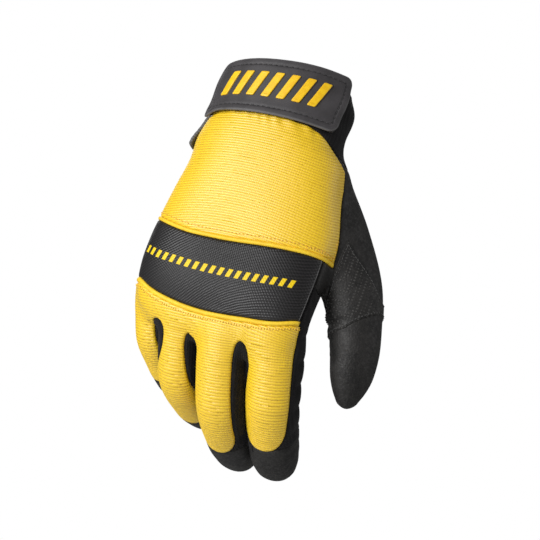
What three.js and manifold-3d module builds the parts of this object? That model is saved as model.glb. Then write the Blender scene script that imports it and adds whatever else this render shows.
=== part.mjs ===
// A right-hand work glove of synthetic leather and ribbed stretch fabric, in the shape it has when worn.
//
// Frame: millimetres, +Z up. The origin is the centre of the wrist opening, the fingers hang towards -Z,
// the back of the hand faces -Y, the palm faces +Y and the thumb is on the +X side.
//
// The glove is one hollow shell. The palm body, four fingers and the thumb are lofts from the tables
// below, joined, and hollowed by the same lofts made thinner. Cutters built from the same tables then part
// the shell into the panels that the real glove is sewn from, with a narrow seam gap between neighbours.
// The strap, its tab and the thumb patch are sleeves of the same lofts, made a little larger.

import * as THREE from "three";
import { mergeVertices } from "three/addons/utils/BufferGeometryUtils.js";
import Module from "manifold-3d";

const wasm = await Module();
wasm.setup();

// Driving dimensions
const wall = 1.6; // thickness of the fabric and leather panels
const seamGap = 0.3; // clearance between neighbouring panels
const rollRise = 0.8; // how far the rolled hems stand proud
const rollWidth = 2.6; // width of the rolled hems beside the knuckle band
const corners = { palm: 26, digit: 14 }; // corners around the outside of the palm body and of a digit
const innerCorners = { palm: 20, digit: 10 }; // the same around the hollow
const digitPower = 2.1; // how square a digit's section is (2 is an ellipse)
const far = 120; // beyond every face of the glove, for cutters that run right through
const aboveWrist = 9; // a height above the wrist opening, where cutters start

// The palm body, from the wrist opening to the webs. Each row is one ring: its height z, its tilt about X
// (towards the palm), its slant about Y (up towards the little finger), the depth y of its centre line,
// its reach to the little-finger side, the thumb side, the back and the palm, and how square it is
// (2 is an ellipse).
const palmRings = [
  { z: 0, tilt: 0, slant: 0, y: 0, ulnar: 34.5, radial: 37, back: 23, front: 23, power: 2.1 },
  { z: -12, tilt: 0, slant: 0, y: 0, ulnar: 35.5, radial: 42.5, back: 23, front: 23, power: 2.1 },
  { z: -27, tilt: 0, slant: 0, y: 0, ulnar: 36, radial: 41.5, back: 23, front: 23.5, power: 2.1 },
  { z: -37, tilt: 0, slant: 0, y: 0, ulnar: 39.5, radial: 41.5, back: 24, front: 25, power: 2.2 },
  { z: -46, tilt: 0, slant: 0, y: 0, ulnar: 41, radial: 47, back: 24.5, front: 26, power: 2.2 },
  { z: -58, tilt: 0, slant: 0, y: 0, ulnar: 42, radial: 50, back: 24, front: 27, power: 2.3 },
  { z: -76, tilt: 0, slant: 0, y: 0, ulnar: 43.5, radial: 53.5, back: 22, front: 28, power: 2.4 },
  { z: -94, tilt: 0, slant: 1, y: 0, ulnar: 46, radial: 57, back: 20, front: 26, power: 2.5 },
  { z: -111, tilt: 0, slant: 2, y: 0, ulnar: 48.5, radial: 56, back: 19, front: 21, power: 2.6 },
  { z: -125, tilt: 8, slant: 3, y: 1, ulnar: 49.5, radial: 53.5, back: 18.5, front: 17, power: 2.7 },
  { z: -136, tilt: 20, slant: 5, y: 4, ulnar: 49, radial: 52, back: 17, front: 15, power: 2.8 },
  { z: -145, tilt: 34, slant: 6, y: 9, ulnar: 47, radial: 48, back: 16, front: 13, power: 2.8 },
  { z: -151, tilt: 42, slant: 6, y: 14, ulnar: 42, radial: 43, back: 12, front: 9, power: 2.6 },
];

// The fingers. Each bends from the joint `at`, leans sideways, is rolled about its own line, and has a bend
// at each of three joints and the length of the link that follows it. `size` scales fingerRings.
const fingers = {
  index: { at: [37.5, 1, -134], lean: 6.5, roll: 6, bend: [34, 22, 10], link: [49, 28, 30], size: 1.14 },
  middle: { at: [8.5, -1, -139], lean: 3.5, roll: 0, bend: [35, 32, 15], link: [53, 32, 30], size: 1.06 },
  ring: { at: [-19, 1, -134], lean: -3.5, roll: -6, bend: [38, 37, 16], link: [49, 30, 27], size: 0.97 },
  little: { at: [-44, 7, -123], lean: -3.5, roll: -13, bend: [37, 25, 5], link: [38, 22, 24], size: 0.84 },
};

// The ribbed strip on the back of each finger: its reach to the little-finger side and the thumb side as a
// share of the finger's own, and its round end as a share of the finger's length.
const backStrips = {
  index: { ulnar: 0.84, radial: 0.76, to: 0.75 },
  middle: { ulnar: 0.95, radial: 0.7, to: 0.745 },
  ring: { ulnar: 0.9, radial: 0.72, to: 0.77 },
  little: { ulnar: 1.3, radial: 0.72, to: 0.78 },
};
const stripStart = 0.04; // where a back strip starts, inside the panel that it joins
const stripRound = 0.09; // length of a strip's round end, as a share of the finger's length
const stripBase = 1; // how far above the finger's centre line a strip starts

// The dark strips down both sides of a finger, which meet over the web to the next finger.
const sideStrip = { near: 2, base: -4, over: 0.2, overWeb: 2.5, webEnd: 0.2, beforeTip: 0.02 };
const above = 30; // beyond the back of every finger
const cutterSteps = 5; // straight steps of a cutter along a finger
const roundEndAngles = [30, 55, 78]; // where its round end has corners, in degrees

// Reach of a finger's section to its sides, its back and its front, by its place along the finger.
const fingerRings = [
  { along: 0.0, side: 13.0, back: 13.0, front: 12.0 },
  { along: 0.16, side: 13.0, back: 12.8, front: 12.4 },
  { along: 0.34, side: 12.9, back: 12.2, front: 12.6 },
  { along: 0.5, side: 12.6, back: 12.2, front: 11.6 },
  { along: 0.66, side: 12.2, back: 11.2, front: 11.8 },
  { along: 0.8, side: 11.8, back: 10.4, front: 11.2 },
  { along: 0.9, side: 10.6, back: 9.4, front: 10.0 },
  { along: 0.96, side: 8.2, back: 7.2, front: 7.8 },
  { along: 0.995, side: 4.4, back: 3.8, front: 4.2 },
];

// Seam lines on the back of the hand, seen from the back: x across and z up.
const cuffEdge = [
  { x: -120, z: -32 },
  { x: 20, z: -31 },
  { x: 29, z: -32 },
  { x: 37, z: -35.5 },
  { x: 43, z: -40.5 },
  { x: 120, z: -40.5 },
];
const bandTop = [
  { x: -120, z: -93 },
  { x: -52, z: -95 },
  { x: -41, z: -100.5 },
  { x: -23, z: -105.5 },
  { x: -4, z: -106.3 },
  { x: 28, z: -104.4 },
  { x: 55, z: -102.5 },
  { x: 120, z: -102 },
];
const bandBottom = [
  { x: -120, z: -127 },
  { x: -50, z: -130.5 },
  { x: -36, z: -138 },
  { x: -18, z: -143 },
  { x: 2, z: -145 },
  { x: 21, z: -144.2 },
  { x: 43, z: -141.3 },
  { x: 52, z: -137.5 },
  { x: 120, z: -137 },
];
const crotchLine = [
  { x: -120, z: -146 },
  { x: -38, z: -148 },
  { x: -30, z: -150.5 },
  { x: -8, z: -155.5 },
  { x: 22, z: -155.5 },
  { x: 50, z: -152 },
  { x: 120, z: -150 },
];

// Seam lines that run down the thumb side: the edge of the back panel, the end of the knuckle band, and the
// seam between the thumb and the palm.
const backEdge = [
  { x: 42.5, z: 9 },
  { x: 42.5, z: -38 },
  { x: 47.5, z: -46 },
  { x: 50.5, z: -58 },
  { x: 54, z: -76 },
  { x: 57, z: -91 },
  { x: 57, z: -110 },
];
const bandSeam = [
  { x: 52, z: 9 },
  { x: 52, z: -138 },
  { x: 50, z: -150 },
  { x: 49, z: -160 },
];
const thumbSeam = [
  { x: 38, z: -36 },
  { x: 38, z: -62 },
  { x: 41, z: -82 },
  { x: 47, z: -100 },
  { x: 53, z: -113.5 },
  { x: 56, z: -120 },
  { x: 58, z: -136 },
  { x: 60, z: -200 },
];

// The plain fabric beside the thumb end of the knuckle band: its outline, and its reach round the side.
const sidePanel = {
  outline: [
    { x: 45, z: -86 },
    { x: 57.5, z: -86 },
    { x: 57.5, z: -100 },
    { x: 60, z: -160 },
    { x: 40, z: -160 },
  ],
  round: 5,
};

// The seam along the side of the hand, seen from the side: y to the palm and z up.
const sideSeam = [
  { y: 3, z: 40 },
  { y: 3, z: -112 },
  { y: 5, z: -125 },
  { y: 7, z: -136 },
  { y: 9, z: -150 },
  { y: 6, z: -158 },
  { y: 6, z: -170 },
];

// The thumb's joints from its root in the palm to its tip, the direction of its side, and its sections.
const thumbJoints = [
  { x: 22, y: 6, z: -34 },
  { x: 34, y: 10, z: -54 },
  { x: 50, y: 15, z: -80 },
  { x: 67, y: 22, z: -110 },
  { x: 75, y: 27, z: -138 },
  { x: 77, y: 31, z: -169 },
];
const thumbSide = [0.86, 0.5, 0];
const thumbRings = [
  { along: 0.0, side: 14, back: 12, front: 13 },
  { along: 0.16, side: 16, back: 14, front: 14 },
  { along: 0.36, side: 18, back: 15, front: 15 },
  { along: 0.56, side: 17, back: 14.5, front: 14.5 },
  { along: 0.7, side: 15.2, back: 13.5, front: 13.5 },
  { along: 0.82, side: 13.4, back: 12.2, front: 12.2 },
  { along: 0.91, side: 10.4, back: 9.6, front: 9.6 },
  { along: 0.965, side: 6.6, back: 6.2, front: 6.2 },
  { along: 0.995, side: 3.2, back: 3.2, front: 3.2 },
];

// The wrist strap: its lower and upper edge, its free end on the back, its sewn end on the palm, its
// distance from the cuff and its thickness.
const strap = { low: -30.5, high: -0.4, freeEnd: 38.5, palmEnd: 8, lift: 0.4, thick: 1.8 };

// The moulded tab on the strap: its edges, the height of its two upper corners, the radius of its corners,
// how far round the sides it reaches, and its thickness. Its plain raised bars: the middle of the row, and
// the size and slant of a bar.
const tab = { left: -38.5, right: 41.5, low: -31.5, top: [-0.6, 2.8], corner: 5, side: -3, thick: 1.6 };
const gripBars = { count: 7, x: 1, width: 4.2, pitch: 8.2, slant: 1.6, low: -21.5, high: -10, thick: 0.8 };

// The loose end of the seam tape at the little-finger side, below the strap.
const pull = { low: -47.5, high: -31, back: -5, front: 3, inner: -20, lift: 0.4, thick: 2 };

// The textured patch over the web of the thumb: its outline seen from the back, as x and z.
const patch = {
  lift: 0.3,
  thick: 0.8,
  outline: [
    { x: 60.5, z: -84 },
    { x: 66.5, z: -90.5 },
    { x: 72.5, z: -95.5 },
    { x: 77.5, z: -100.5 },
    { x: 82, z: -107 },
    { x: 88, z: -114 },
    { x: 80, z: -122 },
    { x: 71, z: -131 },
    { x: 60, z: -136 },
    { x: 57, z: -124 },
    { x: 57.5, z: -114 },
    { x: 59.5, z: -98 },
  ],
};

const radians = (degrees) => (degrees * Math.PI) / 180;
const vec = (x, y, z) => new THREE.Vector3(x, y, z);

// A manifold solid from a three.js geometry.
function solidOf(geometry) {
  geometry.deleteAttribute("normal");
  geometry.deleteAttribute("uv");
  const merged = mergeVertices(geometry, 1e-4);
  return new wasm.Manifold(
    new wasm.Mesh({
      numProp: 3,
      vertProperties: merged.attributes.position.array,
      triVerts: new Uint32Array(merged.index.array),
    }),
  );
}

// A closed solid through rings with the same number of corners, with flat ends.
function loft(rings) {
  const count = rings[0].length;
  const points = rings.flat();
  const faces = [];
  for (let r = 0; r < rings.length - 1; r += 1)
    for (let i = 0; i < count; i += 1) {
      const a = r * count + i;
      const b = r * count + ((i + 1) % count);
      faces.push([a, b, b + count], [a, b + count, a + count]);
    }
  for (const end of [0, rings.length - 1]) {
    const centre = rings[end].reduce((sum, p) => sum.add(p), vec(0, 0, 0)).divideScalar(count);
    points.push(centre);
    for (let i = 0; i < count; i += 1) {
      const a = end * count + i;
      const b = end * count + ((i + 1) % count);
      faces.push(end === 0 ? [b, a, points.length - 1] : [a, b, points.length - 1]);
    }
  }
  const geometry = new THREE.BufferGeometry().setFromPoints(points);
  geometry.setIndex(faces.flat());
  const solid = solidOf(geometry);
  if (solid.volume() > 0) return solid;
  geometry.setIndex(faces.map(([a, b, c]) => [a, c, b]).flat());
  return solidOf(geometry);
}

// A place in a frame of an origin and the side and back directions.
const place = (frame, side, back) =>
  frame.origin.clone().addScaledVector(frame.side, side).addScaledVector(frame.back, back);

// The corners of a superellipse in a frame, with its own reach to each side, back and front.
function superRing(frame, reach, count) {
  return Array.from({ length: count }, (_, i) => {
    const angle = (2 * Math.PI * (i + 0.5)) / count;
    const c = Math.cos(angle);
    const s = Math.sin(angle);
    const bulge = (v) => Math.sign(v) * Math.abs(v) ** (2 / reach.power);
    return place(
      frame,
      bulge(c) * (c > 0 ? reach.radial : reach.ulnar),
      bulge(s) * (s > 0 ? reach.back : reach.front),
    );
  });
}

// The frame of a ring of the palm body.
function palmFrame({ y, z, tilt, slant }) {
  const t = radians(tilt);
  const s = radians(slant);
  return {
    origin: vec(0, y, z),
    side: vec(Math.cos(s), 0, -Math.sin(s)),
    back: vec(0, -Math.cos(t), -Math.sin(t)),
  };
}

function palmLoft(inset, top, count = corners.palm) {
  const rings = palmRings.map((row, i) => {
    const last = i === palmRings.length - 1;
    const z = row.z + (i === 0 ? top : 0) + (last ? inset : 0);
    const reach = {
      ulnar: row.ulnar - inset,
      radial: row.radial - inset,
      back: row.back - inset,
      front: row.front - inset,
      power: row.power,
    };
    return superRing(palmFrame({ ...row, z }), reach, count);
  });
  return loft(rings);
}

// The centre line of a finger, a smooth curve through its joints, and the direction of its side.
function fingerLine({ at, lean, roll, bend, link }) {
  const straight = vec(Math.sin(radians(lean)), 0, -Math.cos(radians(lean)));
  const across = vec(Math.cos(radians(lean)), 0, Math.sin(radians(lean)));
  const palmward = vec(0, 1, 0);
  const cos = Math.cos(radians(roll));
  const sin = Math.sin(radians(roll));
  const toPalm = palmward.clone().multiplyScalar(cos).addScaledVector(across, -sin);
  const side = across.clone().multiplyScalar(cos).addScaledVector(palmward, sin);
  const points = [vec(...at)];
  let turned = 0;
  link.forEach((length, i) => {
    turned += bend[i];
    const step = straight.clone().multiplyScalar(Math.cos(radians(turned)));
    step.addScaledVector(toPalm, Math.sin(radians(turned)));
    points.push(points[i].clone().addScaledVector(step, length));
  });
  return { curve: new THREE.CatmullRomCurve3(points, false, "centripetal"), side };
}

const thumbLine = {
  curve: new THREE.CatmullRomCurve3(
    thumbJoints.map(({ x, y, z }) => vec(x, y, z)),
    false,
    "centripetal",
  ),
  side: vec(...thumbSide),
};

// The frame of a digit's section: its place on the centre line, and the directions of its side and back.
function digitFrame(line, along) {
  const origin = line.curve.getPointAt(Math.min(Math.max(along, 0), 1));
  const tangent = line.curve.getTangentAt(Math.min(Math.max(along, 0), 1));
  const back = tangent.clone().cross(line.side).normalize();
  const side = back.clone().cross(tangent).normalize();
  return { origin, side, back };
}

function digitLoft(line, table, size, inset, count = corners.digit) {
  const length = line.curve.getLength();
  const rings = table.map((row, i) => {
    const last = i === table.length - 1;
    const frame = digitFrame(line, row.along - (last ? inset / length : 0));
    const reach = (value) => Math.max(value * size - inset, 1);
    const side = reach(row.side);
    const section = { ulnar: side, radial: side, back: reach(row.back), front: reach(row.front) };
    return superRing(frame, { ...section, power: digitPower }, count);
  });
  return loft(rings);
}

const fingerNames = Object.keys(fingers);
const fingerLines = Object.fromEntries(fingerNames.map((name) => [name, fingerLine(fingers[name])]));

// The whole hand, thinner by the inset, with its wrist end lengthened by top.
function hand(inset, top, count = corners) {
  const digits = fingerNames.map((name) =>
    digitLoft(fingerLines[name], fingerRings, fingers[name].size, inset, count.digit),
  );
  digits.push(digitLoft(thumbLine, thumbRings, 1, inset, count.digit));
  return digits.reduce((sum, digit) => sum.add(digit), palmLoft(inset, top, count.palm));
}

const hollow = hand(wall, aboveWrist, innerCorners);
const shell = hand(0, 0).subtract(hollow);

// A straight block of an outline in the x-z plane, through the whole depth of the glove.
function throughDepth(points) {
  const shape = new THREE.Shape(points.map(({ x, z }) => new THREE.Vector2(x, z)));
  const geometry = new THREE.ExtrudeGeometry(shape, { depth: 2 * far, bevelEnabled: false });
  return solidOf(geometry.rotateX(Math.PI / 2).translate(0, far, 0));
}

// A straight block of an outline in the y-z plane, through the whole width of the glove.
function throughWidth(points) {
  const shape = new THREE.Shape(points.map(({ y, z }) => new THREE.Vector2(y, z)));
  const geometry = new THREE.ExtrudeGeometry(shape, { depth: 2 * far, bevelEnabled: false });
  const turn = new THREE.Matrix4().makeBasis(vec(0, 1, 0), vec(0, 0, 1), vec(1, 0, 0));
  return solidOf(geometry.applyMatrix4(turn).translate(-far, 0, 0));
}

// A straight block of an outline in the x-y plane, between two heights.
function throughHeight(points, low, high) {
  const shape = new THREE.Shape(points.map(({ x, y }) => new THREE.Vector2(x, y)));
  const geometry = new THREE.ExtrudeGeometry(shape, { depth: high - low, bevelEnabled: false });
  return solidOf(geometry.translate(0, 0, low));
}

// The points of a seam line, moved up or sideways.
const lifted = (line, up) => line.map(({ x, z }) => ({ x, z: z + up }));
const beside = (line, across) => line.map(({ x, z }) => ({ x: x + across, z }));

// A block between an upper and a lower seam line.
const bandBetween = (upper, lower) => throughDepth([...upper, ...lower.toReversed()]);

// Everything on the little-finger side of a seam line that runs down the hand.
const inwardOf = (line, grow) =>
  throughDepth([{ x: -far, z: line[0].z }, ...beside(line, grow), { x: -far, z: line.at(-1).z }]);

// Everything on the back of the seam that runs along the side of the hand.
const backHalf = (grow) =>
  throughWidth([
    ...sideSeam.map(({ y, z }) => ({ y: y + grow, z })),
    { y: -far, z: sideSeam.at(-1).z },
    { y: -far, z: sideSeam[0].z },
  ]);

// A cutter along a digit: a rectangle in the digit's own section, narrowed over its round end.
function alongDigit(line, { from, to, low, high, base, round }, grow) {
  const length = line.curve.getLength();
  const stations = Array.from({ length: cutterSteps + 1 }, (_, i) => ({
    along: from + ((to - from - round) * i) / cutterSteps,
    keep: 1,
  }));
  if (round > 0)
    for (const angle of roundEndAngles.map(radians))
      stations.push({ along: to - round * (1 - Math.sin(angle)), keep: Math.cos(angle) });
  const middle = (low + high) / 2;
  const rings = stations.map(({ along, keep }, i) => {
    const overshoot = (i === 0 ? -grow : 0) + (i === stations.length - 1 ? grow : 0);
    const frame = digitFrame(line, along + overshoot / length);
    const half = ((high - low) / 2) * keep + grow;
    return [
      place(frame, middle - half, base - grow),
      place(frame, middle + half, base - grow),
      place(frame, middle + half, above),
      place(frame, middle - half, above),
    ];
  });
  return loft(rings);
}

// The cutters of the panels. Each grows by the seam gap where it cuts its neighbours back.
const wristTop = [
  { x: -far, z: aboveWrist },
  { x: far, z: aboveWrist },
];
const cuffCut = (grow) => bandBetween(wristTop, lifted(cuffEdge, -grow));
const backCut = (grow, upper, lower, end) =>
  bandBetween(lifted(upper.line, upper.up + grow), lifted(lower.line, lower.up - grow))
    .intersect(backHalf(grow))
    .intersect(inwardOf(end, grow));
const cuffLine = { line: cuffEdge, up: 0 };
const upperRollTop = { line: bandTop, up: rollWidth };
const upperRollFoot = { line: bandTop, up: 0 };
const lowerRollTop = { line: bandBottom, up: 0 };
const lowerRollFoot = { line: bandBottom, up: -rollWidth };
const crotches = { line: crotchLine, up: 0 };

function backStripCut(name, grow) {
  const { ulnar, radial, to } = backStrips[name];
  const reach = fingerRings[2].side * fingers[name].size;
  const span = { from: stripStart, to, low: -reach * ulnar, high: reach * radial };
  return alongDigit(fingerLines[name], { ...span, base: stripBase, round: stripRound }, grow);
}

const fingerBackCut = (grow) =>
  fingerNames.reduce(
    (sum, name) => sum.add(backStripCut(name, grow)),
    backCut(grow, lowerRollFoot, crotches, bandSeam),
  );

// One side of a finger, from the web to the leather tip: -1 is the little-finger side and 1 the thumb side.
function fingerSideCut(name, side, grow) {
  const { near, base, over, overWeb, webEnd, beforeTip } = sideStrip;
  const reach = fingerRings[1].side * fingers[name].size;
  const slice = (to, away) => {
    const [low, high] = side < 0 ? [-away, -near] : [near, away];
    return alongDigit(fingerLines[name], { from: 0, to, low, high, base, round: 0 }, grow);
  };
  return slice(backStrips[name].to - beforeTip, reach + over).add(slice(webEnd, reach + overWeb));
}

const webCut = (thumbwardFinger, otherFinger) => (grow) =>
  fingerSideCut(thumbwardFinger, -1, grow).add(fingerSideCut(otherFinger, 1, grow));
const indexSideCut = (grow) =>
  throughDepth(sidePanel.outline)
    .intersect(backHalf(grow + sidePanel.round))
    .add(fingerSideCut("index", 1, grow));
const thumbCut = (grow) =>
  throughDepth([
    ...beside(thumbSeam, -grow),
    { x: far, z: thumbSeam.at(-1).z },
    { x: far, z: thumbSeam[0].z },
  ]);

// A sleeve around the palm body between two distances from its fabric.
const sleeve = (from, to) => palmLoft(-to, aboveWrist / 2).subtract(palmLoft(-from, aboveWrist));

function wristStrap() {
  const { low, high, freeEnd, palmEnd, lift, thick } = strap;
  const route = [
    { x: -far, y: -far },
    { x: freeEnd, y: -far },
    { x: freeEnd, y: 0 },
    { x: palmEnd, y: 0 },
    { x: palmEnd, y: far },
    { x: -far, y: far },
  ];
  return sleeve(lift, lift + thick).intersect(throughHeight(route, low, high));
}

// A rectangle with round corners in the x-z plane, cut through the back of the hand only.
function backPlate({ left, right, low, top, corner }) {
  const shape = new THREE.Shape();
  shape.moveTo(left + corner, low);
  for (const [x, z, start] of [
    [right - corner, low + corner, -90],
    [right - corner, top[1] - corner, 0],
    [left + corner, top[0] - corner, 90],
    [left + corner, low + corner, 180],
  ])
    shape.absarc(x, z, corner, radians(start), radians(start + 90), false);
  const geometry = new THREE.ExtrudeGeometry(shape, { depth: far, bevelEnabled: false, curveSegments: 4 });
  return solidOf(geometry.rotateX(Math.PI / 2));
}

function strapTab() {
  const from = strap.lift + strap.thick + seamGap;
  return sleeve(from, from + tab.thick).intersect(backPlate(tab).translate(0, tab.side, 0));
}

function gripBar(index) {
  const { count, width, pitch, slant, low, high, thick } = gripBars;
  const from = strap.lift + strap.thick + tab.thick + 2 * seamGap;
  const x = gripBars.x + (index - (count - 1) / 2) * pitch;
  const outline = [
    { x: x - width / 2 - slant, z: low },
    { x: x + width / 2 - slant, z: low },
    { x: x + width / 2 + slant, z: high },
    { x: x - width / 2 + slant, z: high },
  ];
  return sleeve(from, from + thick).intersect(throughDepth(outline)).intersect(backHalf(0));
}

function sidePull() {
  const { low, high, back, front, inner, lift, thick } = pull;
  const outline = [
    { x: -far, y: back },
    { x: inner, y: back },
    { x: inner, y: front },
    { x: -far, y: front },
  ];
  return sleeve(lift, lift + thick).intersect(throughHeight(outline, low, high));
}

const thumbPatch = () =>
  hand(-patch.lift - patch.thick, 0)
    .subtract(hand(-patch.lift, aboveWrist))
    .intersect(throughDepth(patch.outline));

// The main body of a piece, without the crumbs that two crossing seams leave.
const mainBody = (solid) =>
  solid.decompose().reduce((best, part) => (part.volume() > best.volume() ? part : best));

const finishes = {
  ribbedFabric: { color: 0xf2c435, roughness: 0.85 },
  rolledHem: { color: 0xe8ac20, roughness: 0.8 },
  darkFabric: { color: 0x1c1c1e, roughness: 0.95 },
  wovenBand: { color: 0x222224, roughness: 0.8 },
  syntheticLeather: { color: 0x2c2c2c, roughness: 0.7 },
  strapWebbing: { color: 0x2a2a2c, roughness: 0.8 },
  mouldedTab: { color: 0x3a3a3c, roughness: 0.6 },
  mouldedBar: { color: 0xf0b414, roughness: 0.5 },
};

const pieces = [];
let rest = shell;
const add = (name, solid, finish) => pieces.push({ name, solid: mainBody(solid), finish });

// Takes a panel out of what is left of the shell, with a seam gap around it.
function take(name, cut, finish, stock = rest) {
  add(name, stock.intersect(cut(0)), finish);
  rest = rest.subtract(cut(seamGap));
}

take("cuff", cuffCut, finishes.darkFabric);
const proudShell = hand(-rollRise, 0).subtract(hollow);
const upperRollCut = (grow) => backCut(grow, upperRollTop, upperRollFoot, backEdge);
const lowerRollCut = (grow) => backCut(grow, lowerRollTop, lowerRollFoot, bandSeam);
take("back_panel_hem", upperRollCut, finishes.rolledHem, proudShell);
take("finger_panel_hem", lowerRollCut, finishes.rolledHem, proudShell);
take("back_panel", (grow) => backCut(grow, cuffLine, upperRollTop, backEdge), finishes.ribbedFabric);
take("knuckle_band", (grow) => backCut(grow, upperRollFoot, lowerRollTop, bandSeam), finishes.wovenBand);
take("finger_back_panel", fingerBackCut, finishes.ribbedFabric);
take("thumb_panel", thumbCut, finishes.syntheticLeather);
take("index_side_panel", indexSideCut, finishes.darkFabric);
take("web_index_middle", webCut("index", "middle"), finishes.darkFabric);
take("web_middle_ring", webCut("middle", "ring"), finishes.darkFabric);
take("web_ring_little", webCut("ring", "little"), finishes.darkFabric);
add("palm_panel", rest, finishes.syntheticLeather);
add("wrist_strap", wristStrap(), finishes.strapWebbing);
add("strap_tab", strapTab(), finishes.mouldedTab);
for (let i = 0; i < gripBars.count; i += 1) add(`grip_bar_${i + 1}`, gripBar(i), finishes.mouldedBar);
add("side_pull", sidePull(), finishes.strapWebbing);
add("thumb_patch", thumbPatch(), finishes.syntheticLeather);

function meshOf({ name, solid, finish }) {
  const { vertProperties, triVerts } = solid.getMesh();
  const geometry = new THREE.BufferGeometry();
  geometry.setAttribute("position", new THREE.BufferAttribute(new Float32Array(vertProperties), 3));
  geometry.setIndex(new THREE.BufferAttribute(new Uint32Array(triVerts), 1));
  geometry.computeVertexNormals();
  const mesh = new THREE.Mesh(geometry, new THREE.MeshStandardMaterial({ ...finish, metalness: 0 }));
  mesh.name = name;
  return mesh;
}

const glove = new THREE.Group();
pieces.forEach((piece) => glove.add(meshOf(piece)));

export default glove;
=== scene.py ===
# A right-hand work glove of synthetic leather and ribbed stretch fabric, in the shape it has when worn.
#
# The body of the glove is one fused surface, worked out in millimetres from the tables below. Each panel is
# cut out of it along its seam lines, and then gets its ribs, its rolled hems, its folds and its thickness.
# Fingers point down, the back of the hand faces -y and the thumb is on the +x side.

import math

import bpy
import numpy as np
import openvdb
from mathutils import Matrix, Vector
from mathutils.kdtree import KDTree


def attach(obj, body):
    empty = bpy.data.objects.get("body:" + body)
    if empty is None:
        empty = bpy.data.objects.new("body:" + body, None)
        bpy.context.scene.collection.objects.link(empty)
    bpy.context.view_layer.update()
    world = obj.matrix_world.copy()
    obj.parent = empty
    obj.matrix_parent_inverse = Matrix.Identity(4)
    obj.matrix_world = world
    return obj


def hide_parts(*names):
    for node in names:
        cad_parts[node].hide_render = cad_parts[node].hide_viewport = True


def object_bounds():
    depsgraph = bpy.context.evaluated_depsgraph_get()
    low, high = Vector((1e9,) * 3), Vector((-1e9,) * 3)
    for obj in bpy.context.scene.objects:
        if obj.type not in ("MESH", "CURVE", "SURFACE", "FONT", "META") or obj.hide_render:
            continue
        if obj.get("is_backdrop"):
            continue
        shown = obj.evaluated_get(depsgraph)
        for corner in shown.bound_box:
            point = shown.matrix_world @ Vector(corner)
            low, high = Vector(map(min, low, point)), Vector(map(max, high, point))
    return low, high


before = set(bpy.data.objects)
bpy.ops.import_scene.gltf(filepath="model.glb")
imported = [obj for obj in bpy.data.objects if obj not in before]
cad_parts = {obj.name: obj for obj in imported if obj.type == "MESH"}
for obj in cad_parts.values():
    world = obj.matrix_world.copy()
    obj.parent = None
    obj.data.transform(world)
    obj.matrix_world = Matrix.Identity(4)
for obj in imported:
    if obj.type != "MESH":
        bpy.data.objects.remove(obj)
cad_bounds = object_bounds()

MM = 0.001
rng = np.random.default_rng(7)


def table(columns, rows):
    return dict(zip(columns.split(), np.array(rows, float).T))


# The palm body, from the wrist opening to the webs. Each ring has its height, its tilt about X and slant
# about Y in degrees, the depth of its centre, its reach to the little-finger side, the thumb side, the back
# and the palm, and how square it is.
palm_rings = table(
    "z tilt slant y ulnar radial back front power",
    [
        [-151, 42, 6, 14, 42, 43, 12, 9, 2.6],
        [-145, 34, 6, 9, 46, 48, 16, 13, 2.8],
        [-136, 20, 5, 4, 48, 52.6, 17, 15, 2.8],
        [-125, 8, 3, 1, 48.5, 54.6, 18.5, 17, 2.7],
        [-111, 0, 2, 0, 48, 56, 19, 21, 2.6],
        [-94, 0, 1, 0, 46, 57, 20, 26, 2.5],
        [-76, 0, 0, 0, 43.5, 53.5, 22, 28, 2.4],
        [-58, 0, 0, 0, 40.4, 50, 24, 27, 2.3],
        [-46, 0, 0, 0, 40.7, 47, 24.5, 26, 2.2],
        [-37, 0, 0, 0, 38.8, 41.5, 24, 25, 2.2],
        [-27, 0, 0, 0, 36.6, 41.5, 23, 23.5, 2.1],
        [-12, 0, 0, 0, 36, 42.5, 23, 23, 2.1],
        [0, 0, 0, 0, 34.5, 37, 23, 23, 2.1],
        [10, 0, 0, 0, 34.5, 36.5, 23, 23, 2.1],
    ],
)

# The fingers: the first joint, the sideways lean and roll in degrees, the bend at each joint, the length of
# each link, the size of the section, and the ribbed strip on the back: its reach to the little-finger side
# and the thumb side as a share of the finger's, at the shares of the length in STRIP_AT, and where it ends as
# a share of that length.
FINGERS = {
    "index": dict(
        at=(37.5, 1, -134), lean=6.5, roll=6, bend=(34, 22, 10), link=(49, 28, 30), size=1.14,
        ulnar=(0.70, 0.88, 0.98, 0.97, 0.93), radial=(0.8, 0.8, 0.78, 0.7, 0.62), to=0.696,
    ),
    "middle": dict(
        at=(8.2, -1, -139), lean=3.5, roll=0, bend=(35, 32, 15), link=(53, 32, 30), size=1.085,
        ulnar=(0.93, 0.96, 0.98, 0.98, 0.98), radial=(0.69, 0.69, 0.69, 0.69, 0.7), to=0.702,
    ),
    "ring": dict(
        at=(-19, 1, -134), lean=-3.1, roll=-6, bend=(38, 37, 16), link=(48.5, 29.5, 27), size=0.95,
        ulnar=(0.38, 0.49, 0.92, 0.93, 0.92), radial=(0.63, 0.66, 0.80, 1.0, 0.95), to=0.77,
    ),
    "little": dict(
        at=(-42.9, 7, -123), lean=-3.5, roll=-13, bend=(37, 25, 5), link=(38, 22, 24), size=0.83,
        ulnar=(1.0, 1.0, 1.0, 1.0, 1.0), radial=(0.66, 0.64, 0.64, 0.78, 0.78), to=0.78,
    ),
}
STRIP_AT = (0.12, 0.27, 0.42, 0.56, 0.7)
finger_rings = table(
    "along side back front",
    [
        [0.0, 8.5, 9.5, 9.0],
        [0.07, 11.6, 12.0, 11.2],
        [0.16, 13.0, 12.8, 12.4],
        [0.34, 12.9, 12.2, 12.6],
        [0.5, 12.6, 12.2, 11.6],
        [0.66, 12.2, 11.2, 11.8],
        [0.8, 11.8, 10.4, 11.2],
        [0.9, 10.6, 9.4, 10.0],
        [0.96, 8.2, 7.2, 7.8],
        [0.99, 5.0, 4.4, 4.8],
        [1.0, 1.2, 1.2, 1.2],
    ],
)
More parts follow.
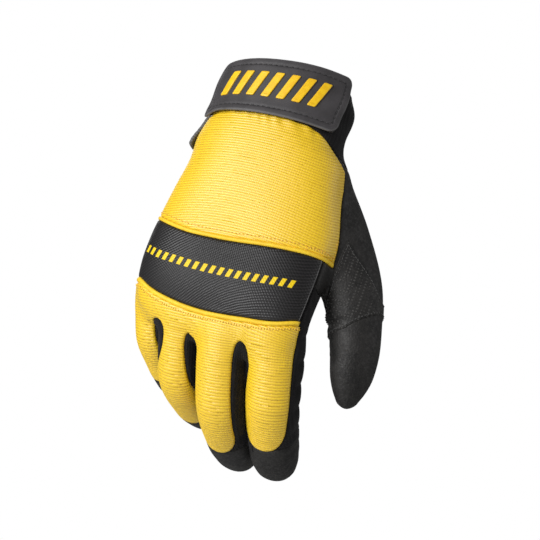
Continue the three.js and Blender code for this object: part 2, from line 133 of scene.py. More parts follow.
THUMB_JOINTS = [(22, 6, -34), (34, 10, -54), (50, 15, -80), (67.3, 22, -110), (75.8, 27, -138),
                (79.2, 31, -169)]
THUMB_SIDE = (0.86, 0.5, 0)
thumb_rings = table(
    "along side back front",
    [
        [0.0, 14, 12, 13],
        [0.16, 16, 14, 14],
        [0.36, 18, 15, 15],
        [0.56, 17, 14.5, 14.5],
        [0.7, 14.4, 13.2, 13.5],
        [0.82, 12.9, 12.0, 12.2],
        [0.91, 10.4, 9.6, 9.6],
        [0.965, 6.6, 6.2, 6.2],
        [0.99, 3.9, 3.8, 3.8],
        [1.0, 1.2, 1.2, 1.2],
    ],
)
DIGIT_POWER = 2.1

# Seam lines across the back of the hand, as x and z.
CUFF_EDGE = [(-120, -32), (20, -31), (29, -32), (37, -35.5), (43, -40.5), (120, -40.5)]
BAND_TOP = [(-120, -93), (-52, -95), (-41, -100.5), (-23, -105.5), (-4, -106.3), (28, -104.4),
            (55, -102.5), (120, -102)]
BAND_BOTTOM = [(-120, -127), (-50, -130.5), (-36, -138), (-18, -143), (2, -145), (21, -144.2),
               (43, -141.3), (52, -137.5), (120, -137)]
CROTCH_LINE = [(-120, -151), (-38, -151.5), (-30, -152), (-8, -154.8), (8, -155), (22, -154.5),
               (50, -148), (120, -147)]

# Seam lines down the hand: the thumb-side edge of the back panel, the end of the knuckle band and the seam
# between thumb and palm, as z and x, and the seam along the side of the hand, as z and y.
BACK_EDGE = [(-110, 58), (-91, 58), (-76, 54.8), (-58, 51.2), (-48, 49.5), (-40, 46.5), (-32, 42), (9, 42)]
BACK_CORNER = 9.0
BAND_SEAM = [(-160, 46.5), (-152, 48.2), (-148, 49.4), (-144, 50.5), (-140, 51.6), (-136, 52.2), (9, 52)]
THUMB_SEAM = [(-200, 60), (-136, 58), (-120, 56), (-113.5, 53), (-100, 47), (-82, 41), (-62, 38), (-36, 38)]
SIDE_SEAM = [(-170, 6), (-158, 6), (-150, 9), (-136, 7), (-125, 5), (-112, 3), (40, 3)]

# The dark block beside the knuckle band: its inner and outer edge, as -z and x, and its top.
SIDE_BLOCK_INNER = [(86, 45), (160, 40)]
SIDE_BLOCK_OUTER = [(86, 57.5), (100, 57.5), (160, 60)]
SIDE_BLOCK_TOP = -86
THUMB_TOP = -36

# The textured patch over the web of the thumb, as x and z.
PATCH = [(60.5, -84), (66.5, -90.5), (72.5, -95.5), (77.5, -100.5), (82, -107), (88, -114), (80, -122),
         (71, -131), (60, -136), (57, -124), (57.5, -114), (59.5, -98)]

WALL = 1.4
SEAM_GAP = 0.1
ROLL_WIDTH, ROLL_HEIGHT = 2.4, 1.0
RIB_PITCH, RIB_DEPTH = 1.5, 0.19

# The distance field's cell, and how many cells it reaches from the surface.
CELL = 1.0
BAND_CELLS = 9
FIELD_LOW, FIELD_HIGH = (-66, -44, -220), (104, 104, 22)

# How far the fabric stands out in each kind of fold.
WAVE_RISE = 0.22
GATHER_RISE, GATHER_PITCH = 0.27, 7.4
JOINT_RISE, CREASE_PITCH = 0.5, 5.2
SCALLOP_RISE, SCALLOP_PITCH = 0.9, 13.5
NOTCH_AT, NOTCH_DEPTH, NOTCH_RIM = 105, 0.7, 0.35

# The row of printed marks on the knuckle band, along a line given as x and z.
PRINT_LINE = [(-47, -115.6), (-39, -119), (-20, -122.5), (7, -123.7), (30, -122.5), (47, -120.6)]
MARK_COUNT, MARK_PITCH, MARK_WIDTH, MARK_HEIGHT, MARK_SLANT = 19, 5.0, 2.5, 4.4, 0.32
MARK_EDGE = 0.12

# The ribs: how much their height rises with depth and arches down to either side, on the back and on the
# knuckles, and the heights between which they turn into rings round each finger.
BACK_RIBS = (0.5, 0.0046, 0.0036)
KNUCKLE_RIBS = (0.3, 0, 0.0024)
RINGS_FROM, RINGS_TO = -146, -160

BLEND = {"index": 5, "middle": 5, "ring": 5, "little": 6, "thumb": 7}


# The steps between two joints of a centre line, and the places along one.
PATH_STEPS = 40
PATH_PLACES = 90


# Curves


def hermite(x, xs, ys):
    """A smooth curve through a table's rows, read at x."""
    xs, ys = np.asarray(xs, float), np.asarray(ys, float)
    slopes = np.gradient(ys, xs)
    x = np.clip(x, xs[0], xs[-1])
    i = np.clip(np.searchsorted(xs, x) - 1, 0, len(xs) - 2)
    h = xs[i + 1] - xs[i]
    t = (x - xs[i]) / h
    start = (1 + 2 * t) * (1 - t) ** 2 * ys[i] + t * (1 - t) ** 2 * h * slopes[i]
    end = t * t * (3 - 2 * t) * ys[i + 1] + t * t * (t - 1) * h * slopes[i + 1]
    return start + end


def seam(points):
    xs, ys = np.array(points, float).T
    return lambda x: hermite(x, xs, ys)


cuff_edge, band_top, band_bottom, crotch_line = map(seam, (CUFF_EDGE, BAND_TOP, BAND_BOTTOM, CROTCH_LINE))
back_edge, band_seam, thumb_seam, side_seam = map(seam, (BACK_EDGE, BAND_SEAM, THUMB_SEAM, SIDE_SEAM))


def smoothstep(low, high, x):
    t = np.clip((x - low) / (high - low), 0, 1)
    return t * t * (3 - 2 * t)


def bell(x, width):
    return np.exp(-((x / width) ** 2))


def unit(v):
    return v / np.maximum(np.linalg.norm(v, axis=-1, keepdims=True), 1e-9)


def lengths(points):
    """The distance run along a line of points, at each of them."""
    return np.concatenate([[0], np.cumsum(np.linalg.norm(np.diff(points, axis=0), axis=1))])


def bulge(value, power):
    return np.sign(value) * np.abs(value) ** (2 / power)


def smooth_path(points):
    """A centripetal curve through points, resampled at even steps."""
    p = np.array(points, float)
    p = np.vstack([2 * p[0] - p[1], p, 2 * p[-1] - p[-2]])
    knots = np.sqrt(np.linalg.norm(np.diff(p, axis=0), axis=1))
    out = []
    for i in range(1, len(p) - 2):
        a, b, c = knots[i - 1], knots[i], knots[i + 1]
        m1 = ((p[i] - p[i - 1]) / a - (p[i + 1] - p[i - 1]) / (a + b) + (p[i + 1] - p[i]) / b) * b
        m2 = ((p[i + 1] - p[i]) / b - (p[i + 2] - p[i]) / (b + c) + (p[i + 2] - p[i + 1]) / c) * b
        t = np.linspace(0, 1, PATH_STEPS, endpoint=False)[:, None]
        cubic = 2 * p[i] - 2 * p[i + 1] + m1 + m2
        square = -3 * p[i] + 3 * p[i + 1] - 2 * m1 - m2
        out.append(p[i] + t * (m1 + t * (square + t * cubic)))
    return np.vstack(out + [p[-2:-1]])


class Digit:
    """A finger or the thumb: its centre line, its frame along it, and its section."""

    def __init__(self, joints, side, rings, size):
        path = smooth_path(joints)
        run = lengths(path)
        self.length = run[-1]
        self.share = np.linspace(0, 1, PATH_PLACES)
        at = self.share * self.length
        self.path = np.stack([np.interp(at, run, path[:, k]) for k in range(3)], 1)
        self.tangent = unit(np.gradient(self.path, axis=0))
        self.back = unit(np.cross(self.tangent, side))
        self.side = unit(np.cross(self.back, self.tangent))
        self.joints = run[np.arange(1, len(joints) - 1) * PATH_STEPS]
        self.rings = rings
        self.size = size

    def frame(self, share):
        read = lambda values: np.stack([np.interp(share, self.share, values[:, k]) for k in range(3)], -1)
        return read(self.path), unit(read(self.side)), unit(read(self.back))

    def reach(self, column, share):
        return hermite(share, self.rings["along"], self.rings[column]) * self.size

    def locate(self, points):
        """Each point's share of the digit's length, and its reach to the side and the back."""
        near = np.empty(len(points), int)
        for start in range(0, len(points), 20000):
            part = points[start:start + 20000]
            far = (self.path**2).sum(1) - 2 * part @ self.path.T
            near[start:start + 20000] = far.argmin(1)
        along = ((points - self.path[near]) * self.tangent[near]).sum(1) / self.length
        share = self.share[near] + along
        origin, side, back = self.frame(share)
        reach = points - origin
        return np.stack([share, (reach * side).sum(1), (reach * back).sum(1)], 1)

    def mesh(self, corners=48):
        share = np.concatenate([np.linspace(0, 0.9, 46), np.linspace(0.91, 1, 14)])
        origin, side, back = self.frame(share)
        angle = 2 * np.pi * (np.arange(corners) + 0.5) / corners
        c, s = bulge(np.cos(angle), DIGIT_POWER), bulge(np.sin(angle), DIGIT_POWER)
        width = self.reach("side", share)[:, None] * c
        depth = np.where(s > 0, self.reach("back", share)[:, None], self.reach("front", share)[:, None]) * s
        return tube(origin[:, None] + width[..., None] * side[:, None] + depth[..., None] * back[:, None])


def tube(rings):
    """A closed tube of quads through rings, with its ends filled by fans."""
    rows, corners = rings.shape[:2]
    points = np.vstack([rings.reshape(-1, 3), rings[0].mean(0), rings[-1].mean(0)])
    r, i = np.meshgrid(np.arange(rows - 1), np.arange(corners), indexing="ij")
    j = (i + 1) % corners
    quads = np.stack([r * corners + i, r * corners + j, (r + 1) * corners + j, (r + 1) * corners + i], -1)
    k = np.arange(corners)
    first = np.stack([(k + 1) % corners, k, np.full(corners, rows * corners)], 1)
    last = (rows - 1) * corners
    end = np.stack([last + k, last + (k + 1) % corners, np.full(corners, rows * corners + 1)], 1)
    return points, quads.reshape(-1, 4), np.vstack([first, end])


def finger_joints(at, lean, roll, bend, link):
    lean, roll = math.radians(lean), math.radians(roll)
    straight = np.array([math.sin(lean), 0, -math.cos(lean)])
    across = np.array([math.cos(lean), 0, math.sin(lean)])
    palmward = np.array([0, 1, 0])
    to_palm = palmward * math.cos(roll) - across * math.sin(roll)
    side = across * math.cos(roll) + palmward * math.sin(roll)
    points = [np.array(at, float)]
    for turned, length in zip(np.radians(np.cumsum(bend)), link):
        points.append(points[-1] + length * (straight * math.cos(turned) + to_palm * math.sin(turned)))
    return points, side


digits = {}
for finger, f in FINGERS.items():
    joints, side = finger_joints(f["at"], f["lean"], f["roll"], f["bend"], f["link"])
    digits[finger] = Digit(joints, side, finger_rings, f["size"])
digits["thumb"] = Digit(THUMB_JOINTS, THUMB_SIDE, thumb_rings, 1)


def palm_at(z, angle, grow=0.0):
    """Points around the palm body, by ring height and angle, moved out by grow."""
    get = {name: hermite(z, palm_rings["z"], column) for name, column in palm_rings.items()}
    tilt, slant = np.radians(get["tilt"]), np.radians(get["slant"])
    c, s = bulge(np.cos(angle), get["power"]), bulge(np.sin(angle), get["power"])
    across = c * (np.where(c > 0, get["radial"], get["ulnar"]) + grow)
    out = s * (np.where(s > 0, get["back"], get["front"]) + grow)
    x = across * np.cos(slant)
    y = get["y"] - out * np.cos(tilt)
    return np.stack([x, y, z - across * np.sin(slant) - out * np.sin(tilt)], -1)


def palm_mesh(corners=112):
    heights = np.concatenate([np.linspace(10, -120, 60), np.linspace(-121.5, -151, 21)])
    angles = 2 * np.pi * (np.arange(corners) + 0.5) / corners
    return tube(palm_at(heights[:, None] + 0 * angles, angles[None, :] + 0 * heights[:, None]))


# The body as a distance field


class Field:
    """Signed distances to a surface, and the slope of them, on a grid of cells."""

    def __init__(self, low, values):
        self.low = low
        slopes = np.gradient(values, CELL)
        self.values = np.stack([values, *slopes], -1).astype(np.float32)

    def read(self, points):
        """The distance at each point, and its normal."""
        at = points / CELL - self.low
        i = np.clip(np.floor(at).astype(int), 0, np.array(self.values.shape[:3]) - 2)
        t = np.clip(at - i, 0, 1)
        total = np.zeros((len(points), 4))
        for corner in range(8):
            bits = np.array([corner >> 2 & 1, corner >> 1 & 1, corner & 1])
            weight = np.prod(np.where(bits, t, 1 - t), axis=1)
            x, y, z = (i + bits).T
            total += weight[:, None] * self.values[x, y, z]
        return total[:, 0], unit(total[:, 1:])

    def settle(self, points, rounds=3):
        """Points moved on to the surface, and the normals there."""
        for _ in range(rounds):
            distance, normal = self.read(points)
            points = points - distance[:, None] * normal
        return points, self.read(points)[1]


def level_set(mesh, low, shape):
    points, quads, triangles = mesh
    grid = openvdb.FloatGrid.createLevelSetFromPolygons(
        points.astype(np.float32),
        triangles=triangles.astype(np.uint32),
        quads=quads.astype(np.uint32),
        transform=openvdb.createLinearTransform(CELL),
        halfWidth=BAND_CELLS,
    )
    values = np.zeros(shape, np.float32)
    grid.copyToArray(values, ijk=tuple(int(v) for v in low))
    return values


def smooth_min(a, b, reach):
    h = np.maximum(reach - np.abs(a - b), 0) / reach
    return np.minimum(a, b) - h * h * reach / 4


def smooth_max(a, b, reach):
    return -smooth_min(-a, -b, reach)


def blurred(values):
    for axis in range(3):
        values = 0.25 * np.roll(values, 1, axis) + 0.5 * values + 0.25 * np.roll(values, -1, axis)
    return values


def fused_body():
    low, high = ((np.array(corner) / CELL).astype(int) for corner in (FIELD_LOW, FIELD_HIGH))
    shape = tuple(high - low)
    palm = level_set(palm_mesh(), low, shape)
    fused = palm
    for name, digit in digits.items():
        fused = np.minimum(fused, smooth_min(palm, level_set(digit.mesh(), low, shape), BLEND[name]))
    return low, blurred(fused)


body_low, body_values = fused_body()
body = Field(body_low, body_values)


# Sheets of triangles. Each point's row holds its place, and its place along and across each digit.
DIGIT_COLUMN = {name: 3 + 3 * i for i, name in enumerate(digits)}


class Sheet:
    """A surface of triangles, in millimetres."""

    def __init__(self, rows, faces):
        self.rows = rows
        self.faces = faces

    def sides(self):
        """Each side once, and the place in that list of each triangle's three sides."""
        f = self.faces
        pairs = np.sort(np.vstack([f[:, [0, 1]], f[:, [1, 2]], f[:, [2, 0]]]), axis=1)
        _, first, index = np.unique(pairs @ [1 << 24, 1], return_index=True, return_inverse=True)
        return pairs[first], index.reshape(3, -1).T

    def border(self):
        """The sides that belong to one triangle, in its own direction."""
        f = self.faces
        ways = np.vstack([f[:, [0, 1]], f[:, [1, 2]], f[:, [2, 0]]])
        _, index = self.sides()
        index = index.T.ravel()
        return ways[np.bincount(index)[index] == 1]

    def compact(self):
        used = np.unique(self.faces)
        place = np.zeros(len(self.rows), int)
        place[used] = np.arange(len(used))
        return Sheet(self.rows[used], place[self.faces])


def level_between(low, high, spacing):
    """A level strictly between two values, or nan: zero, or a multiple of the spacing."""
    if spacing is None:
        return np.where((low < 0) & (high > 0), 0.0, np.nan)
    slack = 1e-6
    first = (np.floor(low / spacing + slack) + 1) * spacing
    last = (np.ceil(high / spacing - slack) - 1) * spacing
    middle = np.clip(np.round((low + high) / (2 * spacing)) * spacing, first, last)
    return np.where(first <= last + slack * spacing, middle, np.nan)


def split(sheet, values, spacing=None, rim=False):
    """Cuts triangles along the levels of a value given at their corners, or with rim only at the border."""
    rows, faces = sheet.rows, sheet.faces
    for _ in range(12):
        sides, index = Sheet(rows, faces).sides()
        a, b = values[sides[:, 0]], values[sides[:, 1]]
        level = level_between(np.minimum(a, b), np.maximum(a, b), spacing)
        if rim:
            level = np.where(np.bincount(index.ravel()) == 1, level, np.nan)
        cut = np.flatnonzero(~np.isnan(level))
        if not len(cut):
            break
        t = ((level[cut] - a[cut]) / (b[cut] - a[cut]))[:, None]
        fresh = rows[sides[cut, 0]] * (1 - t) + rows[sides[cut, 1]] * t
        new_of = np.full(len(sides), -1)
        new_of[cut] = len(rows) + np.arange(len(cut))
        rows = np.vstack([rows, fresh])
        values = np.concatenate([values, level[cut]])
        faces = split_faces(faces, new_of[index], rows[:, :3])
    return Sheet(rows, faces), values


def turned(faces, middles, first):
    """Triangles turned so that the chosen side comes first."""
    order = (first[:, None] + np.arange(3)) % 3
    return np.take_along_axis(faces, order, 1), np.take_along_axis(middles, order, 1)


def split_faces(faces, middles, points):
    """Replaces triangles by smaller ones, given the new point on each side or -1."""
    count = (middles >= 0).sum(1)
    gap = lambda a, b: np.linalg.norm(points[a] - points[b], axis=1)
    pick = lambda f, m, a, b, c: np.stack([np.hstack([f, m])[:, k] for k in (a, b, c)], 1)
    whole = faces[count == 0]
    one, m1 = faces[count == 1], middles[count == 1]
    one, m1 = turned(one, m1, (m1 >= 0).argmax(1))
    two, m2 = faces[count == 2], middles[count == 2]
    two, m2 = turned(two, m2, ((m2 < 0).argmax(1) + 1) % 3)
    short = (gap(two[:, 0], m2[:, 1]) < gap(m2[:, 0], two[:, 2]))[:, None]
    three, m3 = faces[count == 3], middles[count == 3]
    return np.vstack([
        whole,
        pick(one, m1, 0, 3, 2),
        pick(one, m1, 3, 1, 2),
        pick(two, m2, 3, 1, 4),
        np.where(short, pick(two, m2, 0, 3, 4), pick(two, m2, 0, 3, 2)),
        np.where(short, pick(two, m2, 0, 4, 2), pick(two, m2, 3, 4, 2)),
        pick(three, m3, 0, 3, 5),
        pick(three, m3, 3, 1, 4),
        pick(three, m3, 5, 4, 2),
        m3,
    ])


# A corner nearer to a cut than this share of its side moves on to the cut.
WELD_SHARE = 0.3


def clip(sheet, region):
    """The part of a sheet where the region's value is above zero."""
    values = region(sheet.rows)
    sides, _ = sheet.sides()
    a, b = values[sides[:, 0]], values[sides[:, 1]]
    crossing = (a * b) < 0
    near = np.where(np.abs(a) < np.abs(b), sides[:, 0], sides[:, 1])[crossing]
    away = np.where(np.abs(a) < np.abs(b), sides[:, 1], sides[:, 0])[crossing]
    t = values[near] / (values[near] - values[away])
    weld = t < WELD_SHARE
    rows, values = sheet.rows.copy(), values.copy()
    start = sheet.rows[near[weld]]
    rows[near[weld]] = start + t[weld, None] * (sheet.rows[away[weld]] - start)
    values[near[weld]] = 0
    whole, values = split(Sheet(rows, sheet.faces), values)
    keep = (values[whole.faces] >= 0).all(1) & (values[whole.faces] > 0).any(1)
    return Sheet(whole.rows, whole.faces[keep]).compact()


def body_sheet():
    grid = openvdb.FloatGrid(BAND_CELLS * CELL)
    grid.transform = openvdb.createLinearTransform(CELL)
    grid.copyFromArray(body_values, ijk=tuple(int(v) for v in body_low), tolerance=1e-4)
    points, quads = grid.convertToQuads(0.0)
    points, normal = body.settle(points.astype(float))
    quads = quads.astype(int)
    gap = lambda a, b: np.linalg.norm(points[quads[:, a]] - points[quads[:, b]], axis=1)
    short = (gap(0, 2) < gap(1, 3))[:, None]
    one = np.where(short, quads[:, [0, 1, 2]], quads[:, [0, 1, 3]])
    two = np.where(short, quads[:, [0, 2, 3]], quads[:, [1, 2, 3]])
    faces = np.vstack([one, two])
    corners = points[faces]
    facing = np.cross(corners[:, 1] - corners[:, 0], corners[:, 2] - corners[:, 0])
    if (facing * normal[faces[:, 0]]).sum() < 0:
        faces = faces[:, ::-1]
    return Sheet(np.hstack([points] + [digit.locate(points) for digit in digits.values()]), faces)


whole_sheet = body_sheet()


# Regions of the body. Each gives a value that is above zero inside, and about the distance to its edge.


def above(line, up=0.0):
    return lambda p: p[:, 2] - line(p[:, 0]) - up


def below(line, up=0.0):
    return lambda p: line(p[:, 0]) + up - p[:, 2]


def inward_of(line):
    return lambda p: line(p[:, 2]) - p[:, 0]


def on_back(extra=0.0):
    return lambda p: side_seam(p[:, 2]) + extra - p[:, 1]


def within(*regions):
    return lambda p: np.minimum.reduce([region(p) for region in regions])


def either(*regions):
    return lambda p: np.maximum.reduce([region(p) for region in regions])


def shrunk(region, by=SEAM_GAP / 2):
    return lambda p: region(p) - by


def outside(region):
    return lambda p: -region(p)


def on_digit(name, p):
    """Each point's run along a digit in millimetres, its reach to the side and the back, and its radius."""
    column = DIGIT_COLUMN[name]
    share, side, back = p[:, column], p[:, column + 1], p[:, column + 2]
    return share * digits[name].length, side, back, np.hypot(side, back)


STRIP_CORNER = 0.92
STRIP_START = 2.0
STRIP_SHARES = (0.16, 0.9)
WEB_BASE = 4
WEB_SHORT = 0.02
WIDEST = 12.9


def own_side(name, p):
    """How much nearer a point lies to this finger than to the others, for their sizes."""
    size = FINGERS[name]["size"]
    others = [on_digit(other, p)[3] / FINGERS[other]["size"] for other in FINGERS if other != name]
    return (np.minimum.reduce(others) - on_digit(name, p)[3] / size) * size / 2


def finger_strip(name):
    """The ribbed strip on the back of a finger, with a round end."""
    digit, f = digits[name], FINGERS[name]
    end = f["to"] * digit.length

    def region(p):
        run, side, back, radius = on_digit(name, p)
        share = np.clip(run / digit.length, *STRIP_SHARES)
        reach = WIDEST * f["size"] / digit.reach("side", share)
        ulnar = np.arcsin(np.clip(reach * hermite(share, STRIP_AT, f["ulnar"]), 0, 0.999))
        radial = np.arcsin(np.clip(reach * hermite(share, STRIP_AT, f["radial"]), 0, 0.999))
        half = (ulnar + radial) / 2 * radius
        offset = np.abs(np.arctan2(side, back) - (radial - ulnar) / 2) * radius
        corner = half * STRIP_CORNER
        u, v = offset - (half - corner), run - (end - corner)
        value = corner - np.hypot(np.maximum(u, 0), np.maximum(v, 0)) - np.minimum(np.maximum(u, v), 0)
        return np.minimum.reduce([value, run - STRIP_START, own_side(name, p)])

    return region


def finger_flank(name, way):
    """The dark side of a finger, up to its leather front: way is 1 to the thumb, -1 away from it."""
    digit = digits[name]
    end = (FINGERS[name]["to"] - WEB_SHORT) * digit.length

    def region(p):
        run, side, back, radius = on_digit(name, p)
        value = np.minimum(np.minimum(back + WEB_BASE, way * side - 2), end - run)
        return np.where(radius < 1.5 * WIDEST * digit.size, value, -10.0)

    return region


def finger_backs(p):
    """The knuckles and the strips on the fingers, joined by round webs."""
    fingers = np.maximum.reduce([finger_strip(name)(p) for name in FINGERS])
    return smooth_max(knuckles(p), fingers, 5.0)


def outline_region(outline):
    """The inside of an outline in x and z."""
    corners = np.array(outline, float)
    ends = np.roll(corners, -1, 0)

    def region(p):
        point = p[:, [0, 2]]
        best = np.full(len(p), 1e9)
        inside = np.zeros(len(p), bool)
        for a, b in zip(corners, ends):
            t = np.clip((point - a) @ (b - a) / ((b - a) @ (b - a)), 0, 1)
            best = np.minimum(best, np.linalg.norm(point - a - t[:, None] * (b - a), axis=1))
            spans = (a[1] > point[:, 1]) != (b[1] > point[:, 1])
            at = a[0] + (point[:, 1] - a[1]) / (b[1] - a[1] + 1e-12) * (b[0] - a[0])
            inside ^= spans & (point[:, 0] < at)
        return np.where(inside, best, -best)

    return region


def back_side(p):
    """The thumb side of the back panel, with a round corner under the cuff."""
    return smooth_min(inward_of(back_edge)(p), below(cuff_edge)(p), BACK_CORNER)


upper_back = within(on_back(), back_side)
lower_back = within(on_back(), inward_of(band_seam))
knuckles = within(lower_back, above(crotch_line))
below_lower_hem = below(band_bottom, -ROLL_WIDTH)
upper_all = within(above(band_top), upper_back)
band_all = within(above(band_bottom, -ROLL_WIDTH), below(band_top), lower_back)
fingers_all = within(below_lower_hem, finger_backs)
thumb_all = lambda p: np.minimum(p[:, 0] - thumb_seam(p[:, 2]), THUMB_TOP - p[:, 2])
side_block = within(
    lambda p: p[:, 0] - seam(SIDE_BLOCK_INNER)(-p[:, 2]),
    lambda p: seam(SIDE_BLOCK_OUTER)(-p[:, 2]) - p[:, 0],
    lambda p: SIDE_BLOCK_TOP - p[:, 2],
    on_back(5),
)
index_side_all = either(side_block, finger_flank("index", 1))
web_pairs = (("index", "middle"), ("middle", "ring"), ("ring", "little"))
webs = {pair: either(finger_flank(pair[0], -1), finger_flank(pair[1], 1)) for pair in web_pairs}


# Folds


def on_side(side, radius, low, high):
    return smoothstep(low, high, side / np.maximum(radius, 1e-6))


def folds(p):
    """How far the fabric stands out of its plain shape, as waves, gathers, creases and bunching."""
    x, y, z = p[:, :3].T
    rise = WAVE_RISE * np.sin(x / 9 + z / 19) * np.sin(z / 14 + y / 11 + 1.3)

    under_tab = cuff_edge(x) - z
    gathers = np.sin(2 * np.pi * (x + 2.2 * np.sin(x / 6.1) - 0.5 * under_tab) / GATHER_PITCH)
    across_back = smoothstep(-30, -20, x) * smoothstep(38, 26, x) * (y < 0)
    rise += GATHER_RISE * gathers * bell(under_tab, 6) * across_back

    for name, digit in digits.items():
        run, side, back, radius = on_digit(name, p)
        near = smoothstep(1.5, 1.15, radius / (WIDEST * digit.size * (1.35 if name == "thumb" else 1)))
        near = near * smoothstep(-6, 6, run)
        front = on_side(-back, radius, 0.1, 0.8)
        for joint in digit.joints:
            off = run - joint
            rise += near * JOINT_RISE * bell(off, 8) * on_side(back, radius, 0.2, 0.9)
            rise -= near * front * bell(off, 7.5) * (0.35 + 0.55 * np.cos(2 * np.pi * off / CREASE_PITCH))
        if name == "index":
            scallop = np.abs(np.sin(np.pi * (run + 3) / SCALLOP_PITCH)) ** 0.6 - 0.5
            reach = smoothstep(4, 12, run) * smoothstep(90, 78, run)
            rise += near * reach * SCALLOP_RISE * scallop * on_side(side, radius, 0.75, 0.95)
        if name == "thumb":
            notch = run - NOTCH_AT
            rims = NOTCH_RIM * (bell(notch - 4, 3) + bell(notch + 4.5, 3))
            rise += near * on_side(-side, radius, 0.3, 0.9) * (rims - NOTCH_DEPTH * bell(notch, 1.8))
    return rise


# Pieces


class Nearest:
    """The nearest of a set of points."""

    def __init__(self, points):
        self.tree = KDTree(len(points))
        for i, point in enumerate(points):
            self.tree.insert(point, i)
        self.tree.balance()

    def distance(self, points):
        return np.array([self.tree.find(point)[2] for point in points])

    def index(self, points):
        return np.array([self.tree.find(point)[1] for point in points])


def new_object(name, points, faces, material, values=None):
    mesh = bpy.data.meshes.new(name)
    faces = np.asarray(faces)
    count, corners = faces.shape
    mesh.vertices.add(len(points))
    mesh.vertices.foreach_set("co", (np.asarray(points) * MM).astype(np.float32).ravel())
    mesh.loops.add(count * corners)
    mesh.loops.foreach_set("vertex_index", faces.astype(np.int32).ravel())
    mesh.polygons.add(count)
    mesh.polygons.foreach_set("loop_start", (np.arange(count) * corners).astype(np.int32))
    mesh.polygons.foreach_set("use_smooth", np.ones(count, bool))
    mesh.materials.append(material)
    mesh.update(calc_edges=True)
    for value_name, value in (values or {}).items():
        vector = value.ndim > 1
        layer = mesh.attributes.new(value_name, "FLOAT_VECTOR" if vector else "FLOAT", "POINT")
        layer.data.foreach_set("vector" if vector else "value", value.astype(np.float32).ravel())
    piece = bpy.data.objects.new(name, mesh)
    bpy.context.scene.collection.objects.link(piece)
    return piece


def finish_piece(piece, slot, *nodes):
    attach(piece, "root")
    if nodes:
        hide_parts(*nodes)
    return piece


def thick(sheet, lining, outer, inner):
    """Joins an outer sheet and its lining along their borders, which hold the same points."""
    count = len(sheet.rows)
    a, b = sheet.border().T
    ends = np.unique(lining.border())
    beside = np.zeros(count, int)
    beside[a] = ends[Nearest(lining.rows[ends, :3]).index(sheet.rows[a, :3])] + count
    rim = np.vstack([np.stack([b, a, beside[a]], 1), np.stack([b, beside[a], beside[b]], 1)])
    return np.vstack([outer, inner]), np.vstack([sheet.faces, lining.faces[:, ::-1] + count, rim])


def dense_border(sheet, parts=4):
    ends = sheet.rows[sheet.border()][:, :, :3]
    return np.vstack([ends[:, 0] + (ends[:, 1] - ends[:, 0]) * k / parts for k in range(parts)])


class Panel:
    """A panel cut from the body, with its ribs and folds."""

    def __init__(self, keep, drop=(), weave=None, ribbed=False, puff=0.25, dive=0.7, dive_width=1.8,
                 lift=0.0, wall=WALL, profile=None):
        sheet = whole_sheet
        for region in keep:
            sheet = clip(sheet, shrunk(region))
        for region in drop:
            sheet = clip(sheet, shrunk(outside(region)))
        border = Nearest(dense_border(sheet))
        self.weave = weave or flat_weave

        def settled(sheet):
            """Lays a sheet on the body: its rows, normals, distances to the border, folds and rise."""
            sheet.rows[:, :3], normal = body.settle(sheet.rows[:, :3], 2)
            distance = border.distance(sheet.rows[:, :3])
            edge = np.clip(1 - distance / dive_width, 0, 1)
            bent = lift + folds(sheet.rows)
            rise = bent + puff - (puff + dive) * edge**2
            return sheet.rows, normal, distance, bent, rise + profile(distance) if profile else rise

        if ribbed:
            along = self.weave(sheet.rows)[:, 1]
            self.lining, _ = split(sheet, along, RIB_PITCH / 3, rim=True)
            self.sheet, _ = split(sheet, along, RIB_PITCH / 3)
        else:
            self.lining = self.sheet = sheet
        rows, self.normal, self.distance, bent, rise = settled(self.sheet)
        self.crest = np.ones(len(rows))
        if ribbed:
            self.crest = np.sqrt(np.abs(np.sin(np.pi * self.weave(rows)[:, 1] / RIB_PITCH)))
            rise = rise + RIB_DEPTH * (self.crest - 1) * smoothstep(0, 0.8, self.distance)
        self.outer = rows[:, :3] + self.normal * rise[:, None]
        rows, normal, self.lining_distance, bent, rise = settled(self.lining)
        self.inner = rows[:, :3] + normal * (np.minimum(rise, bent) - wall)[:, None]

    def build(self, name, material, slot, *nodes, **more):
        points, faces = thick(self.sheet, self.lining, self.outer, self.inner)
        values = {
            "weave": np.vstack([self.weave(self.sheet.rows), self.weave(self.lining.rows)]),
            "edge": np.concatenate([self.distance, self.lining_distance]),
            "crest": np.concatenate([self.crest, np.ones(len(self.inner))]),
            **{value_name: np.concatenate([value, value]) for value_name, value in more.items()},
        }
        return finish_piece(new_object(name, points, faces, material, values), slot, *nodes)

    def line(self, value):
        """The lines on the outer surface where a value is zero, as lists of points and normals."""
        cut, values = split(Sheet(np.hstack([self.sheet.rows, self.outer, self.normal]), self.sheet.faces),
                            value(self.sheet.rows, self.distance))
        sides, _ = cut.sides()
        on = sides[(np.abs(values[sides]) < 1e-9).all(1)]
        return [(cut.rows[chain][:, -6:-3], unit(cut.rows[chain][:, -3:])) for chain in chains(on)]


def chains(pairs):
    """Strings sides together into lines of points."""
    near = {}
    for a, b in pairs.tolist():
        near.setdefault(a, set()).add(b)
        near.setdefault(b, set()).add(a)
    out = []
    starts = [a for a, others in near.items() if len(others) == 1] + list(near)
    for start in starts:
        while near.get(start):
            chain = [start]
            while near.get(chain[-1]):
                ahead = near[chain[-1]].pop()
                near[ahead].discard(chain[-1])
                chain.append(ahead)
            out.append(np.array(chain))
    return out


# Weave directions: millimetres across and along the fabric. The back is read around an axis at a depth, and
# each finger around its own line, where it is the nearest.
BACK_AXIS_DEPTH, BACK_RADIUS = 14, 42
FINGER_RADIUS, FINGER_SPREAD = 12, 6
KNUCKLE_HEIGHT = -152


def flat_weave(p):
    return p[:, [0, 2, 1]]


